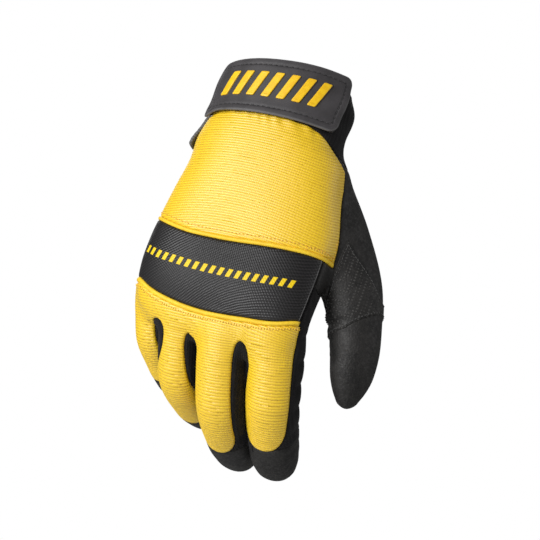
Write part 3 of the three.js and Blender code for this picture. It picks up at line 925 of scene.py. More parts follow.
def print_place(points):
    """Each point's run along the print line from the start of its marks, and its height above the line."""
    x, z = np.array(PRINT_LINE, float).T
    across = np.linspace(x[0] - 6, x[-1] + 6, 120)
    level = hermite(across, x, z)
    on_line, _ = body.settle(np.stack([across, 0 * across - 16, level], 1), 8)
    run = lengths(on_line)
    start = (np.interp(x[[0, -1]], on_line[:, 0], run).sum() - MARK_COUNT * MARK_PITCH) / 2
    run = np.interp(points[:, 0], on_line[:, 0], run)
    return np.stack([run - start, points[:, 2] - hermite(points[:, 0], x, z), 0 * run], 1)


def rib_level(p, lift, ulnar_arch, radial_arch):
    """The height of the rib through each point: ribs rise with depth and arch down to both sides."""
    arch = np.where(p[:, 0] < 0, ulnar_arch, radial_arch)
    return p[:, 2] - lift * p[:, 1] + arch * p[:, 0] ** 2


def back_weave(p):
    across = np.arctan2(p[:, 0], BACK_AXIS_DEPTH - p[:, 1]) * BACK_RADIUS
    return np.stack([across, rib_level(p, *BACK_RIBS), 0 * across], 1)


def finger_weave(p):
    """Across and along the fingers, from level lines over the knuckles to rings round each finger."""
    total, across, along = 1e-9, 0, 0
    for name, f in FINGERS.items():
        run, side, back, radius = on_digit(name, p)
        weight = bell(radius / f["size"], FINGER_SPREAD) + 1e-12
        across = across + weight * (np.arctan2(side, back) * FINGER_RADIUS + f["at"][0])
        along = along + weight * (run + KNUCKLE_RUN[name])
        total = total + weight
    own = smoothstep(RINGS_FROM, RINGS_TO, p[:, 2])
    level = knuckle_level(p)
    return np.stack([across / total, level + own * (along / total - level), 0 * total], 1)


def knuckle_level(p):
    return -rib_level(p, *KNUCKLE_RIBS)


def knuckle_run(name):
    """What turns a finger's own run into the height below the wrist, on the back of its knuckle."""
    digit, f = digits[name], FINGERS[name]
    share = np.linspace(0, 0.5, 120)
    origin, _, back = digit.frame(share)
    place = origin + back * digit.reach("back", share)[:, None]
    at = np.argmin(np.abs(place[:, 2] - KNUCKLE_HEIGHT))
    return knuckle_level(place)[at] - share[at] * digit.length


KNUCKLE_RUN = {name: knuckle_run(name) for name in FINGERS}


# Stitches


def along_line(points, normals, pitch, inset=0.6):
    """Places at even steps along a line, with the normal and the direction there."""
    run = lengths(points)
    if run[-1] < 2 * inset + pitch:
        return []
    count = int((run[-1] - 2 * inset) / pitch) + 1
    at = np.linspace(inset, run[-1] - inset, count)
    read = lambda values, s: np.stack([np.interp(s, run, values[:, k]) for k in range(3)], 1)
    here, normal = read(points, at), unit(read(normals, at))
    ahead = unit(read(points, at + 0.6) - read(points, at - 0.6))
    return list(zip(here, normal, ahead))


THREAD_RINGS, THREAD_CORNERS = 5, 6


def thread_piece(name, tubes, material, slot):
    """One piece of many small tubes."""
    all_points, all_faces, count = [], [], 0
    for points, quads, fans in tubes:
        all_points.append(points)
        all_faces.append(np.vstack([quads[:, [0, 1, 2]], quads[:, [0, 2, 3]], fans]) + count)
        count += len(points)
    return finish_piece(new_object(name, np.vstack(all_points), np.vstack(all_faces), material), slot)


def stitches(name, lines, material, slot, pitch, length, width, height, slant=0, zigzag=False):
    """A row of short raised threads along lines."""
    along = np.linspace(-1, 1, THREAD_RINGS)
    round_end = np.sqrt(np.clip(1 - np.abs(along) ** 3, 0.05, 1))
    angle = 2 * np.pi * np.arange(THREAD_CORNERS) / THREAD_CORNERS
    tubes = []
    for points, normals in lines:
        for i, (here, normal, ahead) in enumerate(along_line(points, normals, pitch)):
            across = np.cross(normal, ahead)
            turn = math.radians(slant + rng.normal(0, 3)) * (-1 if zigzag and i % 2 else 1)
            axis = ahead * math.cos(turn) + across * math.sin(turn)
            beside = np.cross(normal, axis)
            ring = beside * np.cos(angle)[:, None] * width + normal * np.sin(angle)[:, None] * height
            arch = normal * height * 0.6
            tubes.append(tube(np.array([here + axis * length / 2 * a + arch * (1 - a * a) + ring * r / 2
                                        for a, r in zip(along, round_end)])))
    return thread_piece(name, tubes, material, slot)


def thread_along(name, lines, material, slot, radius, sink):
    """A thin thread that runs along lines, sunk into the fabric."""
    angle = 2 * np.pi * np.arange(THREAD_CORNERS)[:, None] / THREAD_CORNERS
    tubes = []
    for points, normals in lines:
        if lengths(points)[-1] < 4:
            continue
        ahead = unit(np.gradient(points, axis=0))
        across = np.cross(normals, ahead)
        centre = points + normals * (radius - sink)
        ring = across[:, None] * np.cos(angle) + normals[:, None] * np.sin(angle)
        tubes.append(tube(centre[:, None] + radius * ring))
    return thread_piece(name, tubes, material, slot)


# Materials


class Shade:
    """A node material in the making."""

    def __init__(self, name, roughness=0.8, **sockets):
        self.material = bpy.data.materials.new(name)
        self.material.use_nodes = True
        self.tree = self.material.node_tree
        self.shader = self.tree.nodes["Principled BSDF"]
        self.set(Roughness=roughness, **sockets)

    def set(self, **sockets):
        for name, value in sockets.items():
            self.put(self.shader.inputs[name.replace("_", " ")], value)

    def put(self, socket, value):
        if isinstance(value, bpy.types.NodeSocket):
            self.tree.links.new(value, socket)
        elif value is not None:
            colour = isinstance(value, tuple) and socket.type == "RGBA"
            socket.default_value = (*value, 1) if colour else value

    def node(self, kind, inputs=None, output=0, **settings):
        made = self.tree.nodes.new("ShaderNode" + kind)
        for name, value in settings.items():
            setattr(made, name, value)
        for name, value in (inputs or {}).items():
            self.put(made.inputs[name], value)
        return made.outputs[output]

    def math(self, operation, a, b=None, c=None):
        return self.node("Math", {0: a, 1: b, 2: c}, operation=operation)

    def value(self, name):
        return self.node("Attribute", output="Fac", attribute_name=name)

    def weave(self):
        return self.node("Attribute", output="Vector", attribute_name="weave")

    def place(self):
        """The place on the object, in millimetres."""
        metres = self.node("TexCoord", output="Object")
        return self.node("VectorMath", {0: metres, 3: 1000.0}, operation="SCALE")

    def split(self, vector):
        made = self.tree.nodes.new("ShaderNodeSeparateXYZ")
        self.put(made.inputs[0], vector)
        return made.outputs[0], made.outputs[1], made.outputs[2]

    def noise(self, vector, pitch, detail=2.0, roughness=0.5):
        return self.node("TexNoise", {"Vector": vector, "Scale": 1 / pitch, "Detail": detail,
                                      "Roughness": roughness})

    def fleck(self, across_rate, along_rate, pitch):
        """Noise over the weave, stretched along one of its ways."""
        across, along, _ = self.split(self.weave())
        across = self.math("MULTIPLY", across, across_rate)
        along = self.math("MULTIPLY", along, along_rate)
        return self.noise(self.node("CombineXYZ", {0: across, 1: along}), pitch)

    def cells(self, vector, pitch, randomness=1.0):
        return self.node("TexVoronoi", {"Vector": vector, "Scale": 1 / pitch, "Randomness": randomness})

    def wave(self, value, pitch):
        """A smooth wave from 0 to 1."""
        turns = self.math("MULTIPLY", value, 2 * math.pi / pitch)
        return self.math("MULTIPLY_ADD", self.math("SINE", turns), 0.5, 0.5)

    def span(self, value, low, high, to_low=0.0, to_high=1.0):
        return self.node("MapRange", {"Value": value, "From Min": low, "From Max": high, "To Min": to_low,
                                      "To Max": to_high}, interpolation_type="SMOOTHSTEP")

    def within(self, value, limit, edge):
        """1 below a limit and 0 above it, with a soft edge."""
        return self.span(value, limit - edge, limit + edge, 1.0, 0.0)

    def tint(self, base, value, low, high, share, colour):
        """Mixes a colour in, by up to a share, where a value is high."""
        return self.mix(self.span(value, low, high, 0.0, share), base, colour)

    def mix(self, share, a, b):
        made = self.tree.nodes.new("ShaderNodeMix")
        made.data_type = "RGBA"
        self.put(made.inputs[0], share)
        self.put(made.inputs[6], a)
        self.put(made.inputs[7], b)
        return made.outputs[2]

    def finish(self, base, height, millimetres, strength, **sockets):
        """Sets the colour and the bump, and gives the material."""
        bump = self.node("Bump", {"Height": height, "Distance": millimetres * MM, "Strength": strength})
        self.set(Base_Color=base, Normal=bump, **sockets)
        return self.material


CREST_YELLOW = (0.92, 0.61, 0.004)
DEEP_YELLOW = (0.87, 0.53, 0.003)
PALE_YELLOW = (0.94, 0.70, 0.02)
# Painted shade: the rib grooves and the dips between yarn loops get this darker yellow.
GROOVE_SHADE_YELLOW = (0.68, 0.39, 0.002)


def ribbed_fabric():
    shade = Shade("ribbed_fabric", 0.46, Specular_IOR_Level=1.0, Sheen_Weight=0.12, Sheen_Roughness=0.4,
                  Sheen_Tint=(1.0, 0.92, 0.68))
    across, _, _ = shade.split(shade.weave())
    crest = shade.value("crest")
    yarn = shade.wave(across, 1.15)
    tone = shade.noise(shade.weave(), 9.0, 3.0)
    fleck = shade.fleck(0.6, 1.6, 0.8)
    height = shade.math("MULTIPLY_ADD", yarn, 0.22, shade.span(crest, 0.15, 1.0, 0.0, 0.78))
    # Painted shade: the yellow darkens down into the rib grooves and between the yarn loops.
    base = shade.mix(shade.span(height, 0.1, 0.85), GROOVE_SHADE_YELLOW, CREST_YELLOW)
    base = shade.tint(base, tone, 0.3, 0.7, 0.3, DEEP_YELLOW)
    base = shade.tint(base, fleck, 0.35, 0.75, 0.22, PALE_YELLOW)
    return shade.finish(base, shade.math("MULTIPLY_ADD", fleck, 0.2, height), 0.25, 0.5)


def rolled_hem():
    shade = Shade("rolled_hem", 0.6, Sheen_Weight=0.2, Sheen_Roughness=0.4, Sheen_Tint=(1.0, 0.8, 0.3))
    tone = shade.noise(shade.weave(), 5.0, 3.0)
    fleck = shade.fleck(0.5, 2.5, 0.7)
    base = shade.mix(shade.span(tone, 0.3, 0.7), (0.93, 0.62, 0.020), (0.88, 0.53, 0.010))
    base = shade.tint(base, fleck, 0.35, 0.75, 0.3, (0.96, 0.72, 0.07))
    return shade.finish(base, fleck, 0.12, 0.6)


def knitted_black():
    shade = Shade("dark_fabric", 0.85, Sheen_Weight=0.04, Sheen_Roughness=0.5, Specular_IOR_Level=0.2)
    across, along, _ = shade.split(shade.weave())
    knit = shade.math("MULTIPLY", shade.wave(across, 1.1), shade.wave(along, 0.9))
    tone = shade.noise(shade.weave(), 7.0, 3.0)
    base = shade.mix(shade.span(knit, 0.0, 0.8), (0.006, 0.0056, 0.006), (0.016, 0.015, 0.016))
    base = shade.tint(base, tone, 0.35, 0.7, 0.4, (0.021, 0.0195, 0.021))
    return shade.finish(base, knit, 0.25, 0.7)


def printed_marks(shade):
    """A row of slanted marks along the print line, as 0 or 1."""
    run, off, _ = shade.split(shade.node("Attribute", output="Vector", attribute_name="print"))
    slanted = shade.math("MULTIPLY_ADD", off, -MARK_SLANT, run)
    turns = shade.math("FRACT", shade.math("DIVIDE", slanted, MARK_PITCH))
    beside = shade.math("ABSOLUTE", shade.math("SUBTRACT", turns, 0.5))
    wide = shade.within(shade.math("MULTIPLY", beside, MARK_PITCH), MARK_WIDTH / 2, MARK_EDGE)
    tall = shade.within(shade.math("ABSOLUTE", off), MARK_HEIGHT / 2, MARK_EDGE)
    half = MARK_COUNT * MARK_PITCH / 2
    from_middle = shade.math("ABSOLUTE", shade.math("SUBTRACT", run, half))
    inside = shade.math("LESS_THAN", from_middle, half)
    return shade.math("MULTIPLY", inside, shade.math("MULTIPLY", wide, tall))


def twill_band():
    shade = Shade("woven_band", 0.44, Specular_IOR_Level=0.4)
    across, along, _ = shade.split(shade.weave())
    wobble = shade.noise(shade.weave(), 6.0, 2.0)
    lean = shade.math("MULTIPLY_ADD", across, -0.62, along)
    twill = shade.wave(shade.math("MULTIPLY_ADD", wobble, 1.2, lean), 1.85)
    thread = shade.wave(shade.math("MULTIPLY_ADD", along, 0.75, across), 1.5)
    height = shade.math("MULTIPLY_ADD", thread, 0.35, shade.math("MULTIPLY", twill, 0.85))
    base = shade.mix(shade.span(height, 0.1, 1.2), (0.003, 0.0028, 0.003), (0.020, 0.018, 0.019))
    tone = shade.noise(shade.weave(), 8.0, 2.0)
    base = shade.tint(base, tone, 0.35, 0.7, 0.35, (0.010, 0.0095, 0.010))
    ink = printed_marks(shade)
    base = shade.mix(ink, base, (0.86, 0.60, 0.006))
    return shade.finish(base, shade.math("MULTIPLY_ADD", ink, 0.8, height), 0.27, 0.6)


def grained_leather(name="synthetic_leather", dotted=False):
    shade = Shade(name, 0.6, Specular_IOR_Level=0.35)
    place = shade.place()
    shift = shade.node("TexNoise", {"Vector": place, "Scale": 0.5}, output="Color")
    shift = shade.node("VectorMath", {0: shift, 3: 1.2}, operation="SCALE")
    bent = shade.node("VectorMath", {0: place, 1: shift}, operation="ADD")
    grain = shade.cells(bent, 1.15)
    pores = shade.noise(place, 0.45, 2.0)
    patches = shade.noise(place, 11.0, 4.0, 0.6)
    scuffs = shade.noise(place, 1.9, 4.0, 0.65)
    low, high = (0.006, 0.0056, 0.0052), (0.019, 0.0178, 0.0167)
    base = shade.mix(shade.span(patches, 0.32, 0.68), low, high)
    base = shade.tint(base, scuffs, 0.45, 0.72, 0.6, (0.032, 0.030, 0.028))
    height = shade.math("MULTIPLY_ADD", pores, 0.35, shade.math("SUBTRACT", 1.0, grain))
    if dotted:
        dots = shade.span(shade.cells(shade.weave(), 1.75, 0.0), 0.2, 0.42, 1.0, 0.0)
        base = shade.mix(dots, base, (0.048, 0.0455, 0.043))
        height = shade.math("MULTIPLY_ADD", dots, 1.6, height)
    return shade.finish(base, height, 0.22, 0.65, Roughness=shade.span(scuffs, 0.3, 0.7, 0.7, 0.52))


def webbing(name, dark_tone, light_tone):
    shade = Shade(name, 0.7, Sheen_Weight=0.1, Sheen_Roughness=0.4)
    across, along, _ = shade.split(shade.weave())
    ribs = shade.wave(along, 1.6)
    picks = shade.wave(shade.math("MULTIPLY_ADD", ribs, 0.5, across), 1.3)
    height = shade.math("MULTIPLY", ribs, shade.math("MULTIPLY_ADD", picks, 0.5, 0.5))
    base = shade.mix(height, dark_tone, light_tone)
    return shade.finish(base, height, 0.3, 0.8)


def rubber():
    shade = Shade("moulded_tab", 0.55, Specular_IOR_Level=0.45)
    place = shade.place()
    grain = shade.noise(place, 0.5, 3.0)
    tone = shade.noise(place, 9.0, 3.0)
    # Lighter rim along the tab's edges: partly wear, partly a painted highlight on the bevel.
    rim = shade.span(shade.value("edge"), 0.1, 1.3, 1.0, 0.0)
    wear_and_highlight = shade.math("MULTIPLY", rim, shade.span(tone, 0.2, 0.6, 0.3, 0.8))
    base = shade.mix(shade.span(tone, 0.3, 0.7), (0.036, 0.033, 0.035), (0.050, 0.046, 0.049))
    base = shade.mix(wear_and_highlight, base, (0.13, 0.127, 0.13))
    return shade.finish(base, grain, 0.06, 0.5, Roughness=shade.span(grain, 0.3, 0.7, 0.52, 0.66))


def raised_print():
    shade = Shade("moulded_bar", 0.42, Specular_IOR_Level=0.45)
    place = shade.place()
    tone = shade.noise(place, 3.0, 3.0)
    grain = shade.noise(place, 0.4, 2.0)
    base = shade.mix(shade.span(tone, 0.3, 0.7), (0.92, 0.58, 0.012), (0.83, 0.48, 0.008))
    return shade.finish(base, grain, 0.05, 0.5)


def thread(name, dark_tone, light_tone):
    shade = Shade(name, 0.6, Sheen_Weight=0.2)
    place = shade.place()
    twist = shade.node("TexWave", {"Vector": place, "Scale": 0.6, "Distortion": 1.5}, output="Fac")
    base = shade.mix(twist, dark_tone, light_tone)
    return shade.finish(base, twist, 0.08, 0.6)


yellow, hem, knit, twill = ribbed_fabric(), rolled_hem(), knitted_black(), twill_band()
leather, dotted = grained_leather(), grained_leather("textured_leather", dotted=True)
strap_weave = webbing("strap_webbing", (0.013, 0.012, 0.013), (0.045, 0.043, 0.046))
# The loose tape end's webbing is lighter than the strap's: partly the tape's own grey, partly a painted
# highlight.
pull_weave_grey_and_highlit = webbing("pull_webbing_grey_and_highlit", (0.075, 0.075, 0.078), (0.15, 0.15, 0.155))
tab_rubber, bar_rubber = rubber(), raised_print()
pale_thread = thread("pale_thread", (0.82, 0.46, 0.02), (0.96, 0.66, 0.09))
orange_thread = thread("orange_thread", (0.60, 0.28, 0.01), (0.85, 0.48, 0.04))
black_thread = thread("black_thread", (0.012, 0.011, 0.012), (0.035, 0.033, 0.036))
grey_thread = thread("grey_thread", (0.035, 0.034, 0.034), (0.085, 0.083, 0.082))


# The panels


def roll_profile(distance):
    """A half-round rise across a rolled hem."""
    half = ROLL_WIDTH / 2
    return ROLL_HEIGHT * np.sqrt(1 - (1 - np.clip(distance / half, 0, 1)) ** 2)


# How the edges of the stretch fabrics and of the rolled hems turn in.
STRETCH = dict(dive=0.5, dive_width=1.4)
ROLLED = dict(weave=back_weave, puff=-0.35, dive=0.25, dive_width=0.8, profile=roll_profile)

cuff_panel = Panel([lambda p: -p[:, 2], above(cuff_edge)], dive_width=1.2)
back_panel = Panel([below(cuff_edge), above(band_top, ROLL_WIDTH), on_back(), back_side],
                   weave=back_weave, ribbed=True, **STRETCH)
back_hem = Panel([below(band_top, ROLL_WIDTH), above(band_top), on_back(), back_side], **ROLLED)
band_panel = Panel([below(band_top), above(band_bottom), on_back(), inward_of(band_seam)],
                   weave=back_weave, puff=0.1, **STRETCH)
finger_hem = Panel([below(band_bottom), above(band_bottom, -ROLL_WIDTH), on_back(), inward_of(band_seam)],
                   **ROLLED)
finger_panel = Panel([below_lower_hem, finger_backs], weave=finger_weave, ribbed=True, **STRETCH)
thumb_panel = Panel([below(cuff_edge), thumb_all], [upper_all, band_all, fingers_all])
side_panel = Panel([below(cuff_edge), index_side_all], [upper_all, band_all, fingers_all, thumb_all])
web_panels = {
    pair: Panel([web], [upper_all, band_all, fingers_all, index_side_all]) for pair, web in webs.items()
}
palm_panel = Panel([below(cuff_edge)],
                   [upper_all, band_all, fingers_all, thumb_all, index_side_all, *webs.values()])

cuff_panel.build("knitted_cuff", knit, "dark_fabric", "cuff")
back_panel.build("ribbed_back", yellow, "ribbed_fabric", "back_panel")
back_hem.build("back_rolled_hem", hem, "rolled_hem", "back_panel_hem")
band_panel.build("knuckle_twill", twill, "woven_band", "knuckle_band", print=print_place(band_panel.outer))
finger_hem.build("finger_rolled_hem", hem, "rolled_hem", "finger_panel_hem")
finger_panel.build("ribbed_finger_backs", yellow, "ribbed_fabric", "finger_back_panel")
thumb_panel.build("thumb_leather", leather, "synthetic_leather", "thumb_panel")
side_panel.build("index_side_fabric", knit, "dark_fabric", "index_side_panel")
for (one, two), made in web_panels.items():
    made.build(f"web_{one}_{two}_fabric", knit, "dark_fabric", f"web_{one}_{two}")
palm_panel.build("leather_palm", leather, "synthetic_leather", "palm_panel")

patch_panel = Panel([outline_region(PATCH), thumb_all], lift=0.45, puff=0.35, dive=0.2, dive_width=1.2,
                    wall=0.6)
patch_panel.build("dotted_patch", dotted, "textured_leather", "thumb_patch")

# Stitching
finger_hem_line = finger_panel.line(lambda p, d: below(band_bottom, -ROLL_WIDTH - 1.5)(p))
stitches("finger_hem_stitches", finger_hem_line, pale_thread, "rolled_hem", pitch=1.55, length=1.5,
         width=0.62, height=0.45, slant=58, zigzag=True)
corner_line = back_panel.line(lambda p, d: np.maximum.reduce([d - 1.5, p[:, 2] + 88, 46 - p[:, 0]]))
stitches("corner_stitches", corner_line, pale_thread, "rolled_hem", pitch=1.5, length=1.3, width=0.5,
         height=0.35, slant=60, zigzag=True)
back_hem_line = back_panel.line(lambda p, d: above(band_top, ROLL_WIDTH + 2.3)(p))
stitches("back_hem_stitches", back_hem_line, orange_thread, "rolled_hem", pitch=2.2, length=1.5, width=0.5,
         height=0.35)
band_end = band_panel.line(lambda p, d: inward_of(band_seam)(p) - 0.7)
thread_along("band_end_thread", band_end, grey_thread, "woven_band", radius=0.22, sink=0.2)
patch_line = patch_panel.line(lambda p, d: d - 1.4)
stitches("patch_stitches", patch_line, grey_thread, "textured_leather", pitch=1.9, length=1.4, width=0.4,
         height=0.35)


# Plates: the strap, its tab, the bars and the loose tape end, wrapped around the wrist.


WRAP_ROWS, WRAP_COLUMNS, WRAP_STEPS = 24, 160, 240


class Wrap:
    """Places around the palm body: u runs from 0 to 1 between two angles, at even steps of length."""

    def __init__(self, start, end, low, high, grow):
        self.low, self.high = low, high
        rows, runs = [], []
        for z in np.linspace(low, high, WRAP_ROWS):
            angles = np.linspace(start(z), end(z), WRAP_STEPS)
            run = lengths(palm_at(np.full(WRAP_STEPS, z), angles, grow))
            rows.append(np.interp(np.linspace(0, 1, WRAP_COLUMNS), run / run[-1], angles))
            runs.append(run[-1])
        self.angles = np.array(rows)
        self.length = float(np.mean(runs))

    def place(self, u, z, grow):
        row = np.clip((z - self.low) / (self.high - self.low), 0, 1) * (WRAP_ROWS - 1)
        i = np.minimum(row.astype(int), WRAP_ROWS - 2)
        t = row - i
        column = np.clip(u, 0, 1) * (WRAP_COLUMNS - 1)
        j = np.minimum(column.astype(int), WRAP_COLUMNS - 2)
        s = column - j
        read = lambda row: self.angles[row, j] * (1 - s) + self.angles[row, j + 1] * s
        return palm_at(z, read(i) * (1 - t) + read(i + 1) * t, grow)


def side_angle(reach, grow, depth):
    """The angle at which the palm body reaches x = reach, or the side at a depth behind the middle."""
    column = "radial" if reach > 0 else "ulnar"

    def angle(z):
        width, back, power = (float(hermite(z, palm_rings["z"], palm_rings[name]))
                              for name in (column, "back", "power"))
        across = min(abs(reach) / (width + grow), 1.0) ** (power / 2)
        behind = (depth / (back + grow)) ** (power / 2)
        turn = max(math.acos(min(across, 1.0)), math.asin(behind))
        return turn if reach > 0 else math.pi - turn

    return angle


def rounded_outline(width, height, radii, inset, across=70, down=16, around=9):
    """A rounded rectangle from the middle of its left side, by the top, with each corner's own radius."""
    left, right, low, high = inset, width - inset, inset, height - inset
    top_left, top_right, low_right, low_left = (max(r - inset, 0.05) for r in radii)

    def corner(x, y, radius, start):
        angles = np.radians(start - np.linspace(0, 90, around))
        return np.stack([x + radius * np.cos(angles), y + radius * np.sin(angles)], 1)

    def line(a, b, count):
        return np.linspace(a, b, count + 1)[1:-1]

    tl = corner(left + top_left, high - top_left, top_left, 180)
    tr = corner(right - top_right, high - top_right, top_right, 90)
    br = corner(right - low_right, low + low_right, low_right, 0)
    bl = corner(left + low_left, low + low_left, low_left, -90)
    middle_left, middle_right = np.array([left, height / 2]), np.array([right, height / 2])
    return np.vstack([
        middle_left, line(middle_left, tl[0], down), tl, line(tl[-1], tr[0], across), tr,
        line(tr[-1], middle_right, down), middle_right, line(middle_right, br[0], down), br,
        line(br[-1], bl[0], across), bl, line(bl[-1], middle_left, down),
    ])


def plate(name, size, radii, profile, place, material, slot, nodes=(), **counts):
    """A closed plate from rings of its outline: profile lists each ring's inset and height."""
    rings, flats, insets = [], [], []
    for inset, height in profile:
        flat = rounded_outline(*size, radii, inset, **counts)
        if size[1] > size[0]:
            flat = np.roll(flat, -(len(flat) // 4), axis=0)
        rings.append(place(flat[:, 0], flat[:, 1], np.full(len(flat), height)))
        flats.append(np.column_stack([flat, np.full(len(flat), height)]))
        insets.append(np.full(len(flat), inset))
    points, values = np.vstack(rings), np.vstack(flats)
    corners = len(rings[0])
    _, quads, _ = tube(np.array(rings))
    k = np.arange(1, corners // 2)
    lid = np.stack([k - 1, k, corners - k, (corners - k + 1) % corners], 1)
    last = (len(rings) - 1) * corners
    faces = np.vstack([quads, lid[:, ::-1], last + lid])
    triangles = np.vstack([faces[:, [0, 1, 2]], faces[:, [0, 2, 3]]])
    a, b, c = triangles.T
    triangles = triangles[(a != c) & (b != c)][:, ::-1]
    piece = new_object(name, points, triangles, material,
                       {"weave": values, "edge": np.concatenate(insets)})
    return finish_piece(piece, slot, *nodes)


# The strap starts under the tab's free end, and ends 8 mm from the middle of the palm side.
STRAP_LIFT, STRAP_THICK = 0.4, 2.0
STRAP_LOW, STRAP_HIGH = -30.5, -0.4
STRAP_GROW = 1.3
STRAP_START, STRAP_END = math.radians(24), 2 * math.pi - math.acos((8 / 42) ** 1.05)
strap_start = side_angle(38.5, STRAP_GROW, 3)
strap_wrap = Wrap(lambda z: max(strap_start(z), STRAP_START), lambda z: STRAP_END, -31, 0, STRAP_GROW)


def strap_place(a, b, h):
    return strap_wrap.place(a / strap_wrap.length, STRAP_LOW + b, STRAP_LIFT + h)


strap_height = STRAP_HIGH - STRAP_LOW
bottom = [(inset, 0.0) for inset in np.arange(strap_height / 2 - 0.6, 0.5, -2.0)]
strap_profile = bottom + [(0.5, 0.0), (0.12, 0.2), (0.0, 0.6), (0.0, 1.4), (0.12, 1.8), (0.5, 2.0),
                          (1.6, 2.05), (2.0, 1.9), (2.4, 2.05)]
strap_profile += [(inset, 2.05) for inset in np.arange(4.0, strap_height / 2 - 0.5, 1.6)]
plate("strap_band", (strap_wrap.length, strap_height), (2, 2, 2, 2), strap_profile, strap_place,
      strap_weave, "strap_webbing", ["wrist_strap"], across=150)

TAB_BASE = STRAP_LIFT + STRAP_THICK + 0.1
TAB_THICK = 1.7
TAB_LOW_LEFT, TAB_LOW_RIGHT, TAB_TOP_LEFT, TAB_TOP_RIGHT = -33.3, -31.8, -1.6, 4.4
TAB_END = seam([(-36, 27.5), (-28, 27.8), (-16.5, 28.5), (-11, 27), (-5.5, 22.5), (0, 18), (6, 16)])
tab_wrap = Wrap(lambda z: math.radians(160.5), lambda z: math.radians(TAB_END(z)), -35, 6, 3.1)
tab_height = 33.0
TAB_DROOP, TAB_CURL, TAB_TUCK, TAB_WAVE = 2.0, 1.2, 0.8, 0.25


def tab_place(a, b, h):
    """Places on the tab, whose low left corner droops and tucks in and whose free end curls up."""
    u = a / tab_wrap.length
    top = TAB_TOP_LEFT + (TAB_TOP_RIGHT - TAB_TOP_LEFT) * u
    low = TAB_LOW_LEFT + (TAB_LOW_RIGHT - TAB_LOW_LEFT) * u - TAB_DROOP * smoothstep(17, 1, a)
    z = low + b / tab_height * (top - low)
    curl = TAB_CURL * smoothstep(tab_wrap.length - 16, tab_wrap.length, a) ** 2
    wave = TAB_WAVE * np.sin(a / 9 + 1) * np.sin(b / 13)
    tuck = TAB_TUCK * smoothstep(-28, -35, z) * smoothstep(20, 4, a)
    return tab_wrap.place(u, z, TAB_BASE + h + curl - tuck + np.maximum(wave, 0))


bottom = [(inset, 0.0) for inset in np.arange(tab_height / 2 - 0.6, 0.9, -2.2)]
tab_profile = bottom + [(0.6, 0.0), (0.12, 0.12), (0.0, 0.45), (0.0, 0.9), (0.12, 1.2), (0.4, 1.45),
                        (0.8, 1.6), (1.3, 1.68), (2.2, TAB_THICK), (3.1, TAB_THICK), (3.4, 1.6),
                        (3.65, 1.38), (3.95, 1.34), (4.25, 1.38), (4.5, 1.6), (4.8, TAB_THICK)]
tab_profile += [(inset, TAB_THICK) for inset in np.arange(5.8, tab_height / 2 - 0.5, 1.5)]
TAB_RADII = (7.5, 5, 5.5, 5)
plate("moulded_strap_tab", (tab_wrap.length, tab_height), TAB_RADII, tab_profile, tab_place, tab_rubber,
      "moulded_tab", ["strap_tab"])


def outline_line(size, radii, inset, place, height):
    flat = rounded_outline(*size, radii, inset)
    flat = np.vstack([flat, flat[:1]])
    h = np.full(len(flat), height)
    here = place(flat[:, 0], flat[:, 1], h)
    return here, unit(place(flat[:, 0], flat[:, 1], h + 1) - here)


tab_groove = outline_line((tab_wrap.length, tab_height), TAB_RADII, 3.95, tab_place, 1.36)
stitches("tab_stitches", [tab_groove], black_thread, "moulded_tab", pitch=3.1, length=2.2, width=0.5,
         height=0.4)

# The bars on the tab: where their row has its middle, as a share of the tab's length, and about how high the
# tab is there.
BAR_COUNT, BAR_WIDTH, BAR_PITCH, BAR_SLANT, BAR_LOW, BAR_HIGH = 7, 4.6, 8.7, 4.4, -23.5, -8.5
BAR_MIDDLE = 0.515
TAB_SPAN = TAB_TOP_LEFT + 1.7 - TAB_LOW_LEFT
bar_size = (BAR_WIDTH, BAR_HIGH - BAR_LOW)
bar_profile = [(1.2, -0.1), (0.1, -0.1), (0.0, 0.15), (0.0, 0.5), (0.15, 0.72), (0.45, 0.8), (0.9, 0.82),
               (1.5, 0.82)]
for i in range(BAR_COUNT):
    middle = tab_wrap.length * BAR_MIDDLE + (i - (BAR_COUNT - 1) / 2) * BAR_PITCH

    def bar_place(a, b, h, middle=middle):
        lean = (b / bar_size[1] - 0.5) * BAR_SLANT
        z_share = (BAR_LOW + b - TAB_LOW_LEFT) / TAB_SPAN
        return tab_place(middle + a - BAR_WIDTH / 2 + lean, z_share * tab_height, TAB_THICK + h)

    plate(f"raised_bar_{i + 1}", bar_size, (0.7, 0.7, 0.7, 0.7), bar_profile, bar_place, bar_rubber,
          "moulded_bar", [f"grip_bar_{i + 1}"], across=4, down=6, around=5)

PULL_LOW, PULL_HIGH = -50.0, -29.0
PULL_START, PULL_END = math.pi - 0.22, math.pi + 0.125
PULL_LIFT, PULL_SWING = 0.3, 1.9
RIDGE_RISE, RIDGE_PITCH = 0.06, 3.1
pull_wrap = Wrap(lambda z: PULL_START, lambda z: PULL_END, -50.5, -30, 1.4)


def pull_place(a, b, h):
    """Places on the loose tape end, which stands off more the further it hangs below the tab."""
    ridge = RIDGE_RISE * np.sin(b * 2 * np.pi / RIDGE_PITCH)
    below_tab = TAB_LOW_LEFT - (PULL_LOW + b)
    loose = PULL_LIFT + PULL_SWING * smoothstep(2, 19, below_tab)
    return pull_wrap.place(a / pull_wrap.length, PULL_LOW + b, h + loose + ridge * (h > 0.3))


pull_profile = [(3.2, 0.0), (2.0, 0.0), (0.7, 0.0), (0.1, 0.3), (0.0, 0.9), (0.1, 1.5), (0.6, 1.95),
                (1.5, 2.05), (2.4, 2.1), (3.3, 2.1)]
pull_size = (pull_wrap.length, PULL_HIGH - PULL_LOW)
plate("loose_tape_end", pull_size, (1, 1, 2.6, 2.6), pull_profile, pull_place, pull_weave_grey_and_highlit, "strap_webbing",
      ["side_pull"], across=6, down=14, around=7)


# Camera, light and floor

CAMERA_AZIMUTH, CAMERA_ELEVATION, CAMERA_ROLL = 22.5, -17.0, 18.9
CAMERA_DISTANCE = 1000.0
CAMERA_TARGET = Vector((0, 0, -106.5))
PICTURE = 540
FOCAL_PIXELS = 1820
TARGET_PIXEL = (231.7, 253.3)


